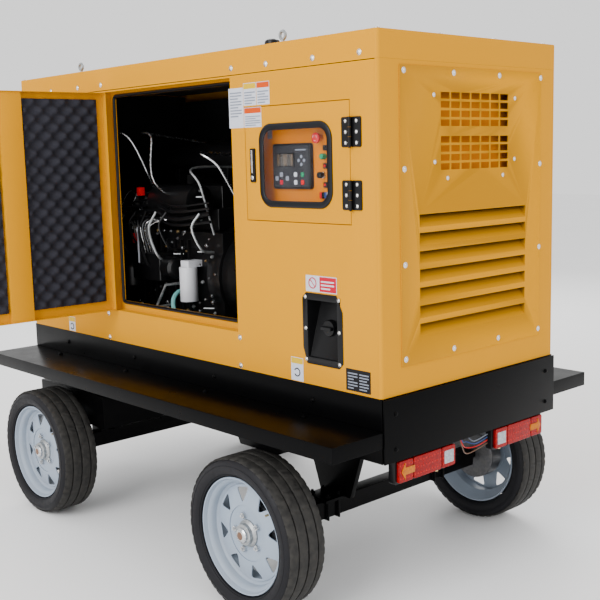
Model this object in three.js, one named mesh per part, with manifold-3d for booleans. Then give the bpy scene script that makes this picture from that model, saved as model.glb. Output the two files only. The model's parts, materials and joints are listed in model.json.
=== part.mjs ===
// A towable diesel generator: a sound-proofed canopy on a flat deck, carried by a four-wheel
// trailer that steers on a turntable. Millimetres, +Z up, +X towards the louvred rear end,
// -Y towards the service side. The near engine door stands open and every other door is shut.
import * as THREE from 'three';
import { mergeVertices } from 'three/addons/utils/BufferGeometryUtils.js';
import Module from 'manifold-3d';

const wasm = await Module();
wasm.setup();

// ---- Driving dimensions --------------------------------------------------------------------

// canopy
const canopyLength = 2490;
const canopyWidth = 1046;
const canopyHeight = 1260;
const sheet = 3;
const seam = 3;
const roofSkirt = 98;
const endSheet = 4;
const headerLap = 20;
const cornerReturn = 42;

// engine doors, one on each side
const doorWidth = 925;
const doorHeight = 1002;
const doorBottom = 150;
const doorDepth = 36;
const doorOpenAngle = 92;
const frameDepth = 42;
const frameSide = 38;
const frameSill = 42;
const frameHead = 24;
const sealWidth = 15;
const sealDepth = 11;
const foamMargin = 43;
const foamStile = 120;
const foamThickness = 30;
const hingeInset = 6;

// control door, its window and what stands behind it
const controlWidth = 567;
const controlHeight = 433;
const controlFromRear = 132;
const pillarWidth = 82;
const controlBottom = 602;
const controlDoorDepth = 16;
const windowWidth = 393;
const windowHeight = 312;
const windowBottom = 656;
const windowFromRear = 221;
const windowCorner = 65;
const windowBand = 25;
const recessDepth = 62;
const recessLip = 12;
const controllerWidth = 209;
const controllerHeight = 170;
const controllerDepth = 18;

// fuel filler recess
const fillerWidth = 208;
const fillerHeight = 267;
const fillerFromRear = 184;
const fillerBottom = 80;
const fillerRim = 26;
const fillerShallow = 10;
const fillerDeep = 74;
const fillerCapRadius = 30;
const fillerCapHeight = 16;

// rear vent panel
const ventWidth = 837;
const ventBottom = 98;
const ventHeight = 1047;
const grilleWidth = 401;
const grilleHeight = 119;
const grilleColumns = 7;
const grilleRows = 4;
const grilleBar = 9;
const louvreWidth = 638;
const louvrePitch = 65;
const louvreCount = 7;
const louvreSlot = 45;
const louvreLean = 26;
const louvreCheek = 2;
const louvreMouth = 6;

// front grille
const frontVentWidth = 760;
const frontVentHeight = 820;
const frontBar = 14;
const frontBars = 9;

// base and deck
const deckTop = 743;
const baseHeight = 118;
const deckOverhang = 250;
const deckEdge = 58;
const deckPlate = 5;
const deckTail = 5;
const chassisDepth = 117;
const railWidth = 60;
const railWall = 6;
const tailBoardPlate = 6;

// running gear
const tyreRadius = 302;
const tyreWidth = 190;
const rimRadius = 226;
const rimWidth = 196;
const wheelSides = 32;
const track = 1410;
const frontAxleFromNose = 426;
const rearAxleFromTail = 495;
const axleSize = 72;
const axleLength = 1180;
const spindleRadius = 21;
const hubRadius = 62;
const bearingGap = 0.9;
const bracketY = 262;
const bracketThickness = 24;
const bracketFoot = 85;
const bracketHead = 185;

// turntable, bolster and drawbar
const ringRadius = 285;
const ringBore = 225;
const ringHeight = 20;
const ringGap = 0.5;
const bolsterLength = 600;
const bolsterWidth = 1150;
const bolsterDepth = 157;
const bolsterWall = 60;
const postSize = 44;
const drawbarLength = 1060;
const drawbarHeight = 441;
const drawbarTube = 60;
const drawbarSpread = 300;
const pivotPinRadius = 12;
const eyeRadius = 52;
const eyeBore = 26;
const eyeThickness = 30;

// tail lamps
const lampWidth = 340;
const lampHeight = 93;
const lampDepth = 46;
const lampFromSide = 67;

// engine bay
const floorPlate = 6;
const engineLength = 900;
const engineWidth = 420;
const blockHeight = 430;
const engineFromFront = 330;
const crankHeight = 300;
const headHeight = 210;
const headWidth = 300;
const alternatorLength = 560;
const alternatorRadius = 225;
const alternatorBore = 155;
const radiatorWidth = 760;
const radiatorHeight = 820;
const radiatorThickness = 90;
const fanRadius = 270;
const fanBlades = 7;
const footHeight = 75;

// clearances
const touchGap = 0.3;
const doorGap = 3;

// gussets under the deck, and the cross member above the turntable
const outriggerReach = 150;
const outriggerDepth = 69;
const turntableHalf = 300;
const outriggerHalf = 145;
const outriggerTaper = 35;
const tailMember = 60;

// fuel tank in the base
const tankMargin = 60;

// tyre and rim sections; the shares are of half the width
const spindleShort = 30;
const beadLip = 20;
const tyreShoulder = 16;
const beadShare = 0.8;
const lipShare = 0.95;
const shoulderShare = 0.9;
const treadShare = 0.72;
const rimWall = 5;
const rimWell = 16;
const discAt = 18;
const discReach = 50;
const rimHoles = 8;
const holeRing = 152;
const flangeShare = 0.82;
const hubShare = 0.75;
const holeIn = 28;
const holeOut = 26;
const holeHalf = 24;

// bolster, its posts and ears
const lugThickness = 16;
const lugReach = 46;
const postYs = [342, 420];
const bolsterPlate = 12;
const saddleMargin = 6;
const lugDrop = 32;
const lugTopGap = 10;
const lugBack = 28;
const lugClear = 4;
const pinSides = 16;

// drawbar nose, cross bar and eye
const nosePad = 70;
const noseFromEye = 90;
const noseHalf = 30;
const noseLap = 20;
const armHeel = 26;
const armStraight = 60;
const tieHalfWide = 20;
const tieShare = 0.36;
const tieSpread = 0.66;
const pinProud = 14;
const shankHalf = 22;
const shankHalfTall = 15;
const shankLap = 6;
const eyeSides = 28;

// door hinge barrels and latch paddles
const barrelTall = 110;
const barrelLeaf = 34;
const barrelClear = 0.4;
const paddleHeight = 130;
const paddleWidth = 30;
const barrelCount = 3;
const barrelInset = 90;
const paddleFromEdge = 62;

// end openings, from the bottom of the canopy
const ventLap = 20;
const grilleUps = [784, 939];
const louvreUp = 196;
const frontVentUp = 180;

// lifting eyes
const liftX = [-705, 735];
const liftInset = 40;
const liftBar = 30;
const liftRing = 21;
const liftWire = 6;
const liftHole = 9;
const liftStem = 28;

// control door hinges, latch, buttons and key
const knuckleRadius = 7;
const knuckleGap = 0.5;
const hingeLeaf = 40;
const hingeLeafThick = 4;
const hingeTall = 103;
const bezelWall = 4;
const buttonSides = 20;
const buttonTravel = 5;
const headTall = 14;
const knuckleOut = 12;
const hingeUps = [655, 872];
const latchFromEdge = 30;
const latchWide = 28;
const latchUps = [750, 878];
const latchProud = 9;
const controllerFromRear = 486;
const controllerUp = 808;
const buttonsFromRear = 325;
const keyUp = 775;
const keyShift = 5;
const boxFlange = 25;
const keyRadius = 12;
const keyBarrel = 8;
const keyThick = 4;
const keyLong = 26;
const keyHalf = 11;

// fuel filler plate and cap
const plateThickness = 3;
const chamfer = 20;
const capAt = 0.5;
const capGripHalf = [4, 24];
const capGripProud = 8;

// engine block, its feet and flywheel housing
const blockWall = 30;
const footHalf = 40;
const footInner = 60;
const footOuter = 30;
const footLap = 20;
const feetFromEnds = [120, 260];
const housingLong = 90;
const housingProud = 30;

// cylinder head: how far each layer stands in from the block's ends
const headInsets = [40, 100];
const coverStep = 30;

// alternator feet, terminal box and bore
const alternatorFoot = 120;
const alternatorFootDrop = 100;
const terminalInsets = [140, 40];
const terminalHalf = 170;
const terminalSink = 40;
const terminalTall = 110;
const boreFrom = 60;

// radiator and fan
const fanDepth = 34;
const radiatorFromFront = 70;
const radiatorFloorGap = 60;
const radiatorFootHalf = 30;
const fanFromRadiator = 40;
const fanAboveCrank = 140;
const fanHub = 60;
const fanShaft = 25;
const fanBladeWide = 80;
const fanBladeThick = 6;
const fanTwist = 22;
const fanRoot = 30;
const shaftLap = 10;

// silencer and air filter, measured from the engine
const mufflerRadius = 85;
const mufflerSpan = [150, 720];
const mufflerY = 110;
const mufflerUp = 130;
const bracketSpans = [[200, 240], [600, 640]];
const bracketWidth = [40, 90];
const filterBodyRadius = 80;
const filterBodySpan = [430, 120];
const intakeOut = 90;
const intakeUp = 140;
const intakeBracket = [300, 250];
const intakeBracketUps = [50, 95];

// battery, fuel filter and hose
const batterySize = [240, 175, 190];
const hoseRadius = 11;
const batteryGap = 60;
const batteryOut = 100;
const filterFromRear = 190;
const filterUp = 270;
const filterOut = 60;
const filterRadius = 42;
const filterTall = 160;
const filterHeadHalf = 30;
const filterHeadDepth = 20;
const hoseFromFilter = 125;
const hoseOut = 62;
const hoseDrops = [128, 300];
const hoseSteps = 36;

// ---- Reference planes worked out from them -------------------------------------------------

const nearSide = -canopyWidth / 2;
const farSide = canopyWidth / 2;
const rearEnd = canopyLength / 2;
const frontEnd = -canopyLength / 2;
const canopyBottom = deckTop + baseHeight;
const roofTop = canopyBottom + canopyHeight;
const panelTop = roofTop - roofSkirt - seam;
const bayFloor = canopyBottom;
const deckRear = rearEnd + deckTail;
const deckHalf = canopyWidth / 2 + deckOverhang;
const railBottom = deckTop - chassisDepth;
const deckUnder = deckTop - deckPlate;
const rearAxleX = rearEnd - rearAxleFromTail;
const frontAxleX = frontEnd + frontAxleFromNose;
const controlX = [rearEnd - controlFromRear - controlWidth, rearEnd - controlFromRear];
const doorFreeX = controlX[0] - pillarWidth;
const hingeX = doorFreeX - doorWidth;
const doorLow = canopyBottom + doorBottom;
const doorHigh = doorLow + doorHeight;
const turntableTop = railBottom;
const turntableSplit = turntableTop - ringHeight;
const bolsterTop = turntableSplit - ringGap - ringHeight;
const bolsterLow = bolsterTop - bolsterDepth;

// ---- Solids --------------------------------------------------------------------------------

const axisFrames = {
  x: [new THREE.Vector3(0, 1, 0), new THREE.Vector3(0, 0, 1), new THREE.Vector3(1, 0, 0)],
  y: [new THREE.Vector3(0, 0, 1), new THREE.Vector3(1, 0, 0), new THREE.Vector3(0, 1, 0)],
  z: [new THREE.Vector3(1, 0, 0), new THREE.Vector3(0, 1, 0), new THREE.Vector3(0, 0, 1)],
};

// Turns a closed geometry into a solid whose faces point out.
function toSolid(geometry) {
  const bare = geometry.index ? geometry.toNonIndexed() : geometry.clone();
  bare.deleteAttribute('normal');
  bare.deleteAttribute('uv');
  const merged = mergeVertices(bare, 1e-3);
  const points = merged.attributes.position.array;
  const corners = [];
  let volume = 0;
  const a = new THREE.Vector3();
  const b = new THREE.Vector3();
  const c = new THREE.Vector3();
  for (let i = 0; i < merged.index.count; i += 3) {
    const [p, q, r] = [0, 1, 2].map((k) => merged.index.getX(i + k));
    if (p === q || q === r || r === p) continue;
    corners.push(p, q, r);
    a.fromArray(points, 3 * p);
    b.fromArray(points, 3 * q);
    c.fromArray(points, 3 * r);
    volume += a.dot(b.cross(c));
  }
  if (volume < 0) corners.reverse();
  return new wasm.Manifold(new wasm.Mesh({
    numProp: 3,
    vertProperties: new Float32Array(points),
    triVerts: new Uint32Array(corners),
  }));
}

function join(first, ...others) {
  return others.reduce((sum, solid) => sum.add(solid), first);
}

function cut(first, ...others) {
  return others.reduce((rest, solid) => rest.subtract(solid), first);
}

// A block from its lowest to its highest corner along each axis.
function block([x0, x1], [y0, y1], [z0, z1]) {
  const geometry = new THREE.BoxGeometry(x1 - x0, y1 - y0, z1 - z0);
  geometry.translate((x0 + x1) / 2, (y0 + y1) / 2, (z0 + z1) / 2);
  return toSolid(geometry);
}

// Places a shape drawn across an axis: its depth runs along the axis from the start.
function alongAxis(geometry, axis, start) {
  geometry.translate(0, 0, start);
  geometry.applyMatrix4(new THREE.Matrix4().makeBasis(...axisFrames[axis]));
  return toSolid(geometry);
}

// An outline of [across, up] points swept along an axis. Across and up are Y and Z for the
// x axis, Z and X for the y axis, and X and Y for the z axis.
function prism(outline, axis, [start, end], curveSteps = 6) {
  const shape = Array.isArray(outline)
    ? new THREE.Shape(outline.map(([u, v]) => new THREE.Vector2(u, v)))
    : outline;
  const depth = end - start;
  const options = { depth, bevelEnabled: false, curveSegments: curveSteps };
  const geometry = new THREE.ExtrudeGeometry(shape, options);
  return alongAxis(geometry, axis, start);
}

function roundedRect([u0, u1], [v0, v1], corner) {
  const shape = new THREE.Shape();
  shape.absarc(u1 - corner, v0 + corner, corner, -Math.PI / 2, 0);
  shape.absarc(u1 - corner, v1 - corner, corner, 0, Math.PI / 2);
  shape.absarc(u0 + corner, v1 - corner, corner, Math.PI / 2, Math.PI);
  shape.absarc(u0 + corner, v0 + corner, corner, Math.PI, 1.5 * Math.PI);
  return shape;
}

// A round bar along an axis. The centre gives the other two coordinates in X, Y, Z order.
function rod(axis, radius, [start, end], [first, second], sides = 24, endRadius = radius) {
  const geometry = new THREE.CylinderGeometry(endRadius, radius, end - start, sides);
  geometry.rotateX(Math.PI / 2);
  geometry.translate(0, 0, (end + start) / 2);
  geometry.applyMatrix4(new THREE.Matrix4().makeBasis(...axisFrames[axis]));
  const moves = { x: [0, first, second], y: [first, 0, second], z: [first, second, 0] };
  geometry.translate(...moves[axis]);
  return toSolid(geometry);
}

// A profile of [radius, distance] points turned about an axis through the origin.
function turned(profile, axis, sides = 32) {
  const points = profile.map(([radius, along]) => new THREE.Vector2(radius, along));
  const geometry = new THREE.LatheGeometry(points, sides);
  geometry.rotateX(Math.PI / 2);
  geometry.applyMatrix4(new THREE.Matrix4().makeBasis(...axisFrames[axis]));
  return toSolid(geometry);
}

// A tube along a smooth curve through the points.
function tube(points, radius, steps, sides = 8) {
  const path = new THREE.CatmullRomCurve3(points.map((point) => new THREE.Vector3(...point)));
  const section = new THREE.Shape();
  section.absarc(0, 0, radius, 0, 2 * Math.PI);
  const settings = { steps, extrudePath: path, curveSegments: sides / 2, bevelEnabled: false };
  return toSolid(new THREE.ExtrudeGeometry(section, settings));
}

function inset([low, high], by) {
  return [low + by, high - by];
}

function between(p, q) {
  return [Math.min(p, q), Math.max(p, q)];
}

// A block with a smaller block taken out of it.
function frameBlock(outerX, outerY, outerZ, innerX, innerY, innerZ) {
  return cut(block(outerX, outerY, outerZ), block(innerX, innerY, innerZ));
}

// ---- Finishes ------------------------------------------------------------------------------

const finishes = {
  yellowPaint: { color: 0xf2a900, roughness: 0.35, metalness: 0.1 },
  blackPaint: { color: 0x0b0b0c, roughness: 0.25, metalness: 0.2 },
  blackPlastic: { color: 0x141416, roughness: 0.5, metalness: 0 },
  engineBlack: { color: 0x101113, roughness: 0.45, metalness: 0.4 },
  foam: { color: 0x232427, roughness: 1, metalness: 0 },
  rubber: { color: 0x0d0d0d, roughness: 0.8, metalness: 0 },
  tyreRubber: { color: 0x26262a, roughness: 0.85, metalness: 0 },
  whiteRim: { color: 0xdfe6ee, roughness: 0.35, metalness: 0.2 },
  zinc: { color: 0x9aa0a4, roughness: 0.4, metalness: 0.8 },
  lampRed: { color: 0xc0101a, roughness: 0.2, metalness: 0 },
  glass: { color: 0x8a9094, roughness: 0.05, metalness: 0 },
  red: { color: 0xc8141c, roughness: 0.4, metalness: 0 },
  green: { color: 0x1f9a3d, roughness: 0.4, metalness: 0 },
  white: { color: 0xe8e8e8, roughness: 0.4, metalness: 0 },
  teal: { color: 0x5fb8b8, roughness: 0.45, metalness: 0 },
};

const trailer = new THREE.Group();

function add(name, solid, finish, parent = trailer) {
  const result = solid.getMesh();
  const geometry = new THREE.BufferGeometry();
  geometry.setAttribute('position', new THREE.BufferAttribute(new Float32Array(result.vertProperties), 3));
  geometry.setIndex(new THREE.BufferAttribute(new Uint32Array(result.triVerts), 1));
  geometry.computeVertexNormals();
  const mesh = new THREE.Mesh(geometry, new THREE.MeshStandardMaterial(finishes[finish]));
  mesh.name = name;
  parent.add(mesh);
  return mesh;
}

// ---- Deck, chassis and tail ----------------------------------------------------------------

add('deck', frameBlock(
  [frontEnd, deckRear], [-deckHalf, deckHalf], [deckTop - deckEdge, deckTop],
  [frontEnd + deckPlate, deckRear - deckPlate], [-deckHalf + deckPlate, deckHalf - deckPlate],
  [deckTop - deckEdge - 1, deckUnder],
), 'blackPaint');

const chassisFront = frontEnd + deckPlate + touchGap;
const chassisRear = deckRear - deckPlate - touchGap;
const railInner = canopyWidth / 2 - railWidth;

// A rail is a channel with its web outside.
function chassisRail(side) {
  const web = side * canopyWidth / 2;
  const inner = side * railInner;
  const webInner = side * (canopyWidth / 2 - railWall);
  const width = between(web, inner);
  const hollow = between(webInner, inner - side);
  return cut(
    block([chassisFront, chassisRear], width, [railBottom, deckUnder]),
    block([chassisFront - 1, chassisRear + 1], hollow, [railBottom + railWall, deckUnder - railWall]),
  );
}

// A cross member is a trough between the rails, open upwards.
function crossMember([x0, x1]) {
  const width = [-canopyWidth / 2 + railWall, canopyWidth / 2 - railWall];
  const inner = [width[0] + railWall, width[1] - railWall];
  return cut(
    block([x0, x1], width, [railBottom, deckUnder]),
    block([x0 + railWall, x1 - railWall], inner, [railBottom + railWall, deckUnder + 1]),
  );
}

// A hanger tapers from the cross member down to the rear axle.
function axleHanger(side) {
  const outline = [
    [railBottom + railWall, rearAxleX - bracketHead],
    [railBottom + railWall, rearAxleX + bracketHead],
    [tyreRadius + axleSize / 2 + touchGap, rearAxleX + bracketFoot],
    [tyreRadius + axleSize / 2 + touchGap, rearAxleX - bracketFoot],
  ];
  const middle = side * bracketY;
  return prism(outline, 'y', [middle - bracketThickness / 2, middle + bracketThickness / 2]);
}

// An outrigger is a tapered gusset that carries the deck above a rear wheel.
function outrigger(side) {
  const half = outriggerHalf;
  const taper = outriggerTaper;
  const outline = [
    [deckTop - deckEdge, rearAxleX - half],
    [deckUnder, rearAxleX - half],
    [deckUnder, rearAxleX + half],
    [deckTop - deckEdge, rearAxleX + half],
    [deckTop - deckEdge - outriggerDepth, rearAxleX + half - taper],
    [deckTop - deckEdge - outriggerDepth, rearAxleX - half + taper],
  ];
  const root = side * (canopyWidth / 2 - railWall);
  const tip = side * (canopyWidth / 2 + outriggerReach);
  const whole = prism(outline, 'y', between(root, tip));
  const tipInner = tip - side * railWall;
  const hollow = between(root - side, tipInner);
  return cut(whole, block(
    [rearAxleX - half + taper + railWall, rearAxleX + half - taper - railWall], hollow,
    [deckTop - deckEdge - outriggerDepth + railWall, deckUnder + 1],
  ));
}

add('chassis_frame', join(
  chassisRail(-1),
  chassisRail(1),
  crossMember([chassisRear - tailMember, chassisRear]),
  crossMember([rearAxleX - bracketHead, rearAxleX + bracketHead]),
  crossMember([frontAxleX - turntableHalf, frontAxleX + turntableHalf]),
  axleHanger(-1),
  axleHanger(1),
  outrigger(-1),
  outrigger(1),
), 'blackPaint');

add('tail_board', block(
  [deckRear + touchGap, deckRear + touchGap + tailBoardPlate], [nearSide, farSide],
  [railBottom, canopyBottom - seam],
), 'blackPaint');

const lampTop = railBottom - touchGap;
for (const [name, side] of [['near_tail_lamp', -1], ['far_tail_lamp', 1]]) {
  const outer = side * (canopyWidth / 2 - lampFromSide);
  const inner = outer - side * lampWidth;
  const width = between(outer, inner);
  const rear = deckRear + tailBoardPlate;
  add(name, block([rear - lampDepth, rear], width, [lampTop - lampHeight, lampTop]), 'lampRed');
}

add('base_frame', frameBlock(
  [frontEnd, rearEnd], [nearSide, farSide], [deckTop, canopyBottom],
  [frontEnd + railWall, rearEnd - railWall], [nearSide + railWall, farSide - railWall],
  [deckTop - 1, canopyBottom - floorPlate],
), 'blackPaint');

const tankX = [-canopyLength / 6, rearEnd - tankMargin];
const tankY = [nearSide + tankMargin, farSide - tankMargin];
const tankTop = canopyBottom - floorPlate - touchGap;
add('fuel_tank', frameBlock(
  tankX, tankY, [deckTop, tankTop],
  inset(tankX, sheet), inset(tankY, sheet), [deckTop - 1, tankTop - sheet],
), 'blackPaint');

// ---- Axles and wheels ----------------------------------------------------------------------

const wheelY = track / 2;
const spindleEnd = wheelY + rimWidth / 2 - spindleShort;

// A square beam with a spindle at each end, about the point between the wheels.
function axle(x) {
  const beam = block(
    [x - axleSize / 2, x + axleSize / 2], [-axleLength / 2, axleLength / 2],
    [tyreRadius - axleSize / 2, tyreRadius + axleSize / 2],
  );
  return join(beam, rod('y', spindleRadius, [-spindleEnd, spindleEnd], [x, tyreRadius]));
}

add('rear_axle', axle(rearAxleX), 'blackPaint');

// Tyre section about its own centre plane, with a flat tread.
function tyreSolid() {
  const half = tyreWidth / 2;
  const bead = rimRadius + touchGap;
  const profile = [
    [bead, -half * beadShare],
    [bead + beadLip, -half * lipShare],
    [(rimRadius + tyreRadius) / 2, -half],
    [tyreRadius - tyreShoulder, -half * shoulderShare],
    [tyreRadius, -half * treadShare],
    [tyreRadius, half * treadShare],
    [tyreRadius - tyreShoulder, half * shoulderShare],
    [(rimRadius + tyreRadius) / 2, half],
    [bead + beadLip, half * lipShare],
    [bead, half * beadShare],
    [bead, -half * beadShare],
  ];
  return turned(profile, 'y', wheelSides);
}

// Wheel rim with its disc and hub: the disc faces outwards (towards positive distance).
function rimSolid(outward) {
  const half = rimWidth / 2;
  const well = rimRadius - rimWell;
  const bore = spindleRadius + bearingGap;
  const profile = [
    [rimRadius, -half * flangeShare],
    [rimRadius, half * flangeShare],
    [rimRadius - rimWall, half * flangeShare],
    [well, half * 0.5],
    [well, discAt],
    [hubRadius + discReach, discAt + 22],
    [hubRadius, discAt + 14],
    [hubRadius - 10, half * hubShare],
    [bore, half * hubShare],
    [bore, -half * 0.5],
    [hubRadius, -half * 0.5],
    [hubRadius, discAt + 4],
    [hubRadius + discReach, discAt + 12],
    [well, discAt - 12],
    [well, -half * 0.7],
    [rimRadius - rimWall, -half * flangeShare],
    [rimRadius, -half * flangeShare],
  ].map(([radius, along]) => [radius, along * outward]);
  const holes = Array.from({ length: rimHoles }, (_, i) => {
    const angle = (2 * Math.PI * i) / rimHoles;
    const outline = [[holeRing - holeIn, 0], [holeRing + holeOut, holeHalf], [holeRing + holeOut, -holeHalf]];
    const spun = outline.map(([u, v]) => [
      u * Math.cos(angle) - v * Math.sin(angle),
      u * Math.sin(angle) + v * Math.cos(angle),
    ]);
    return prism(spun, 'y', [-half, half]);
  });
  return cut(turned(profile, 'y', wheelSides), ...holes);
}

const corners = [
  ['near_rear', rearAxleX, -1],
  ['far_rear', rearAxleX, 1],
  ['near_front', frontAxleX, -1],
  ['far_front', frontAxleX, 1],
];
for (const [corner, x, side] of corners) {
  const wheel = new THREE.Group();
  wheel.position.set(x, side * wheelY, tyreRadius);
  trailer.add(wheel);
  add(`${corner}_tyre`, tyreSolid(), 'tyreRubber', wheel);
  add(`${corner}_rim`, rimSolid(side), 'whiteRim', wheel);
}

// ---- Turntable, bolster and drawbar --------------------------------------------------------

const turntable = new THREE.Group();
turntable.position.set(frontAxleX, 0, 0);
trailer.add(turntable);

const ring = [
  [ringBore, 0], [ringRadius, 0], [ringRadius, ringHeight], [ringBore, ringHeight], [ringBore, 0],
];
const upperRing = turned(ring, 'z', wheelSides).translate(0, 0, turntableSplit);
add('turntable_upper_ring', upperRing, 'blackPaint', turntable);

const bolsterHalfX = bolsterLength / 2;
const bolsterHalfY = bolsterWidth / 2;
const pivotX = -bolsterHalfX - lugReach;
const pivotY = drawbarSpread;

// Two ears on the bolster hold one drawbar pin.
function drawbarEars(side) {
  return [-1, 1].map((ear) => {
    const inner = side * pivotY + ear * (drawbarTube / 2 + lugClear);
    const outer = inner + ear * lugThickness;
    const plate = block(
      [pivotX - lugBack, -bolsterHalfX + 1], [Math.min(inner, outer), Math.max(inner, outer)],
      [drawbarHeight - lugDrop, bolsterTop - lugTopGap],
    );
    const hole = rod('y', pivotPinRadius + touchGap, [inner - 40, inner + 40], [pivotX, drawbarHeight], 16);
    return cut(plate, hole);
  });
}

const saddleY = (postYs[0] + postYs[1]) / 2;
const saddleHalf = (postYs[1] - postYs[0]) / 2 + postSize / 2 + saddleMargin;
add('front_bolster', join(
  frameBlock(
    [-bolsterHalfX, bolsterHalfX], [-bolsterHalfY, bolsterHalfY], [bolsterLow, bolsterTop],
    [-bolsterHalfX + bolsterWall, bolsterHalfX - bolsterWall],
    [-bolsterHalfY + bolsterWall, bolsterHalfY - bolsterWall], [bolsterLow - 1, bolsterTop - bolsterPlate],
  ),
  ...[-1, 1].map((side) => block(
    [-bolsterHalfX + 1, bolsterHalfX - 1],
    [side * saddleY - saddleHalf, side * saddleY + saddleHalf], [bolsterLow, bolsterTop - 1],
  )),
  turned(ring, 'z', wheelSides).translate(0, 0, bolsterTop),
  ...drawbarEars(-1),
  ...drawbarEars(1),
), 'blackPaint', turntable);

// The front axle hangs below the bolster on two pairs of posts.
add('front_axle', join(
  axle(0),
  ...[-1, 1].flatMap((side) => postYs.map((y) => block(
    [-postSize, postSize], [side * y - postSize / 2, side * y + postSize / 2],
    [tyreRadius + axleSize / 2 - 1, bolsterLow - touchGap],
  ))),
), 'blackPaint', turntable);

// Two arms run in to a nose, tied by a cross bar.
const noseX = pivotX - drawbarLength + eyeRadius + noseFromEye;
function drawbarArm(side) {
  const half = drawbarTube / 2;
  const outline = [
    [pivotX + armHeel, side * pivotY + half],
    [pivotX + armHeel, side * pivotY - half],
    [pivotX - armStraight, side * pivotY - half],
    [noseX, side * half - half],
    [noseX, side * half + half],
    [pivotX - armStraight, side * pivotY + half],
  ];
  const low = drawbarHeight - half;
  const arm = prism(outline, 'z', [low, drawbarHeight + half]);
  const hole = rod(
    'y', pivotPinRadius + touchGap, [side * pivotY - armStraight, side * pivotY + armStraight],
    [pivotX, drawbarHeight], pinSides,
  );
  return cut(arm, hole);
}
const tieX = pivotX - drawbarLength * tieShare;
const tieHalf = pivotY * tieSpread;
add('drawbar', join(
  drawbarArm(-1),
  drawbarArm(1),
  block(
    [noseX - nosePad, noseX + noseLap], [-drawbarTube, drawbarTube],
    [drawbarHeight - noseHalf, drawbarHeight + noseHalf],
  ),
  block(
    [tieX - tieHalfWide, tieX + tieHalfWide], [-tieHalf, tieHalf],
    [drawbarHeight - tieHalfWide, drawbarHeight + tieHalfWide],
  ),
), 'blackPaint', turntable);

const pinReach = pivotY + drawbarTube / 2 + lugThickness + pinProud;
add('drawbar_pin', rod(
  'y', pivotPinRadius, [-pinReach, pinReach], [pivotX, drawbarHeight], pinSides,
), 'zinc', turntable);

const eyeX = pivotX - drawbarLength;
const eyeRing = [
  [eyeBore, -eyeThickness / 2],
  [eyeRadius, -eyeThickness / 2],
  [eyeRadius, eyeThickness / 2],
  [eyeBore, eyeThickness / 2],
  [eyeBore, -eyeThickness / 2],
];
add('tow_eye', join(
  turned(eyeRing, 'z', eyeSides).translate(eyeX, 0, drawbarHeight),
  block(
    [eyeX + eyeRadius - shankLap, noseX - nosePad - touchGap], [-shankHalf, shankHalf],
    [drawbarHeight - shankHalfTall, drawbarHeight + shankHalfTall],
  ),
), 'zinc', turntable);

// ---- Canopy shells -------------------------------------------------------------------------

const sideLow = canopyBottom + touchGap;
const controlLow = canopyBottom + controlBottom;
const controlZ = [controlLow, controlLow + controlHeight];
const fillerX = [rearEnd - fillerFromRear - fillerWidth, rearEnd - fillerFromRear];
const fillerZ = [canopyBottom + fillerBottom, canopyBottom + fillerBottom + fillerHeight];

// Hinge barrels on the canopy run just clear of the door leaf's corner.
function doorBarrels(side) {
  const radius = Math.hypot(doorGap, hingeInset) - barrelClear;
  const axisY = side * (canopyWidth / 2 + hingeInset);
  const face = side * canopyWidth / 2;
  const barrelRun = doorHeight - 2 * barrelInset - barrelTall;
  return Array.from({ length: barrelCount }, (_, i) => {
    const low = doorLow + barrelInset + (i * barrelRun) / (barrelCount - 1);
    return join(
      rod('z', radius, [low, low + barrelTall], [hingeX, axisY], 12),
      block([hingeX - barrelLeaf, hingeX - 0.5], between(face - side, axisY), [low, low + barrelTall]),
    );
  });
}

// A side skin with its recessed door frame. The near side also has the two small openings.
function sidePanel(side, extraCuts) {
  const outer = side * canopyWidth / 2;
  const skinInner = outer - side * sheet;
  const frameInner = outer - side * (frameDepth + sheet);
  const flange = frameInner + side * sheet;
  const long = [frontEnd + endSheet + touchGap, rearEnd - endSheet - touchGap];
  const apertureX = [hingeX, doorFreeX];
  const apertureZ = [doorLow, doorHigh];
  const skin = cut(
    block(long, between(outer, skinInner), [sideLow, panelTop]),
    block(apertureX, between(outer + side, skinInner - side), apertureZ),
    ...extraCuts,
  );
  const frame = cut(
    block(
      [apertureX[0] - sheet, apertureX[1] + sheet], between(skinInner, frameInner),
      [apertureZ[0] - sheet, apertureZ[1] + sheet],
    ),
    block(apertureX, between(outer + side, flange), apertureZ),
    block(
      [apertureX[0] + frameSide, apertureX[1] - frameSide], between(outer, frameInner - side),
      [apertureZ[0] + frameSill, apertureZ[1] - frameHead],
    ),
  );
  return join(skin, frame, ...doorBarrels(side));
}

const throughNear = [nearSide - 1, nearSide + sheet + 1];
add('near_side_panel', sidePanel(-1, [
  block(controlX, throughNear, controlZ),
  block([fillerX[0] + 12, fillerX[1] - 12], throughNear, [fillerZ[0] + 12, fillerZ[1] - 12]),
]), 'yellowPaint');
add('far_side_panel', sidePanel(1, []), 'yellowPaint');

const sealFace = nearSide + frameDepth;
const sealX = [hingeX + frameSide - sealWidth, doorFreeX - frameSide + sealWidth];
const sealZ = [doorLow + frameSill - sealWidth, doorHigh - frameHead + sealWidth];
add('near_door_seal', frameBlock(
  sealX, [sealFace - sealDepth - touchGap, sealFace - touchGap], sealZ,
  [sealX[0] + sealWidth, sealX[1] - sealWidth], [sealFace - 40, sealFace + 40],
  [sealZ[0] + sealWidth, sealZ[1] - sealWidth],
), 'rubber');

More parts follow.
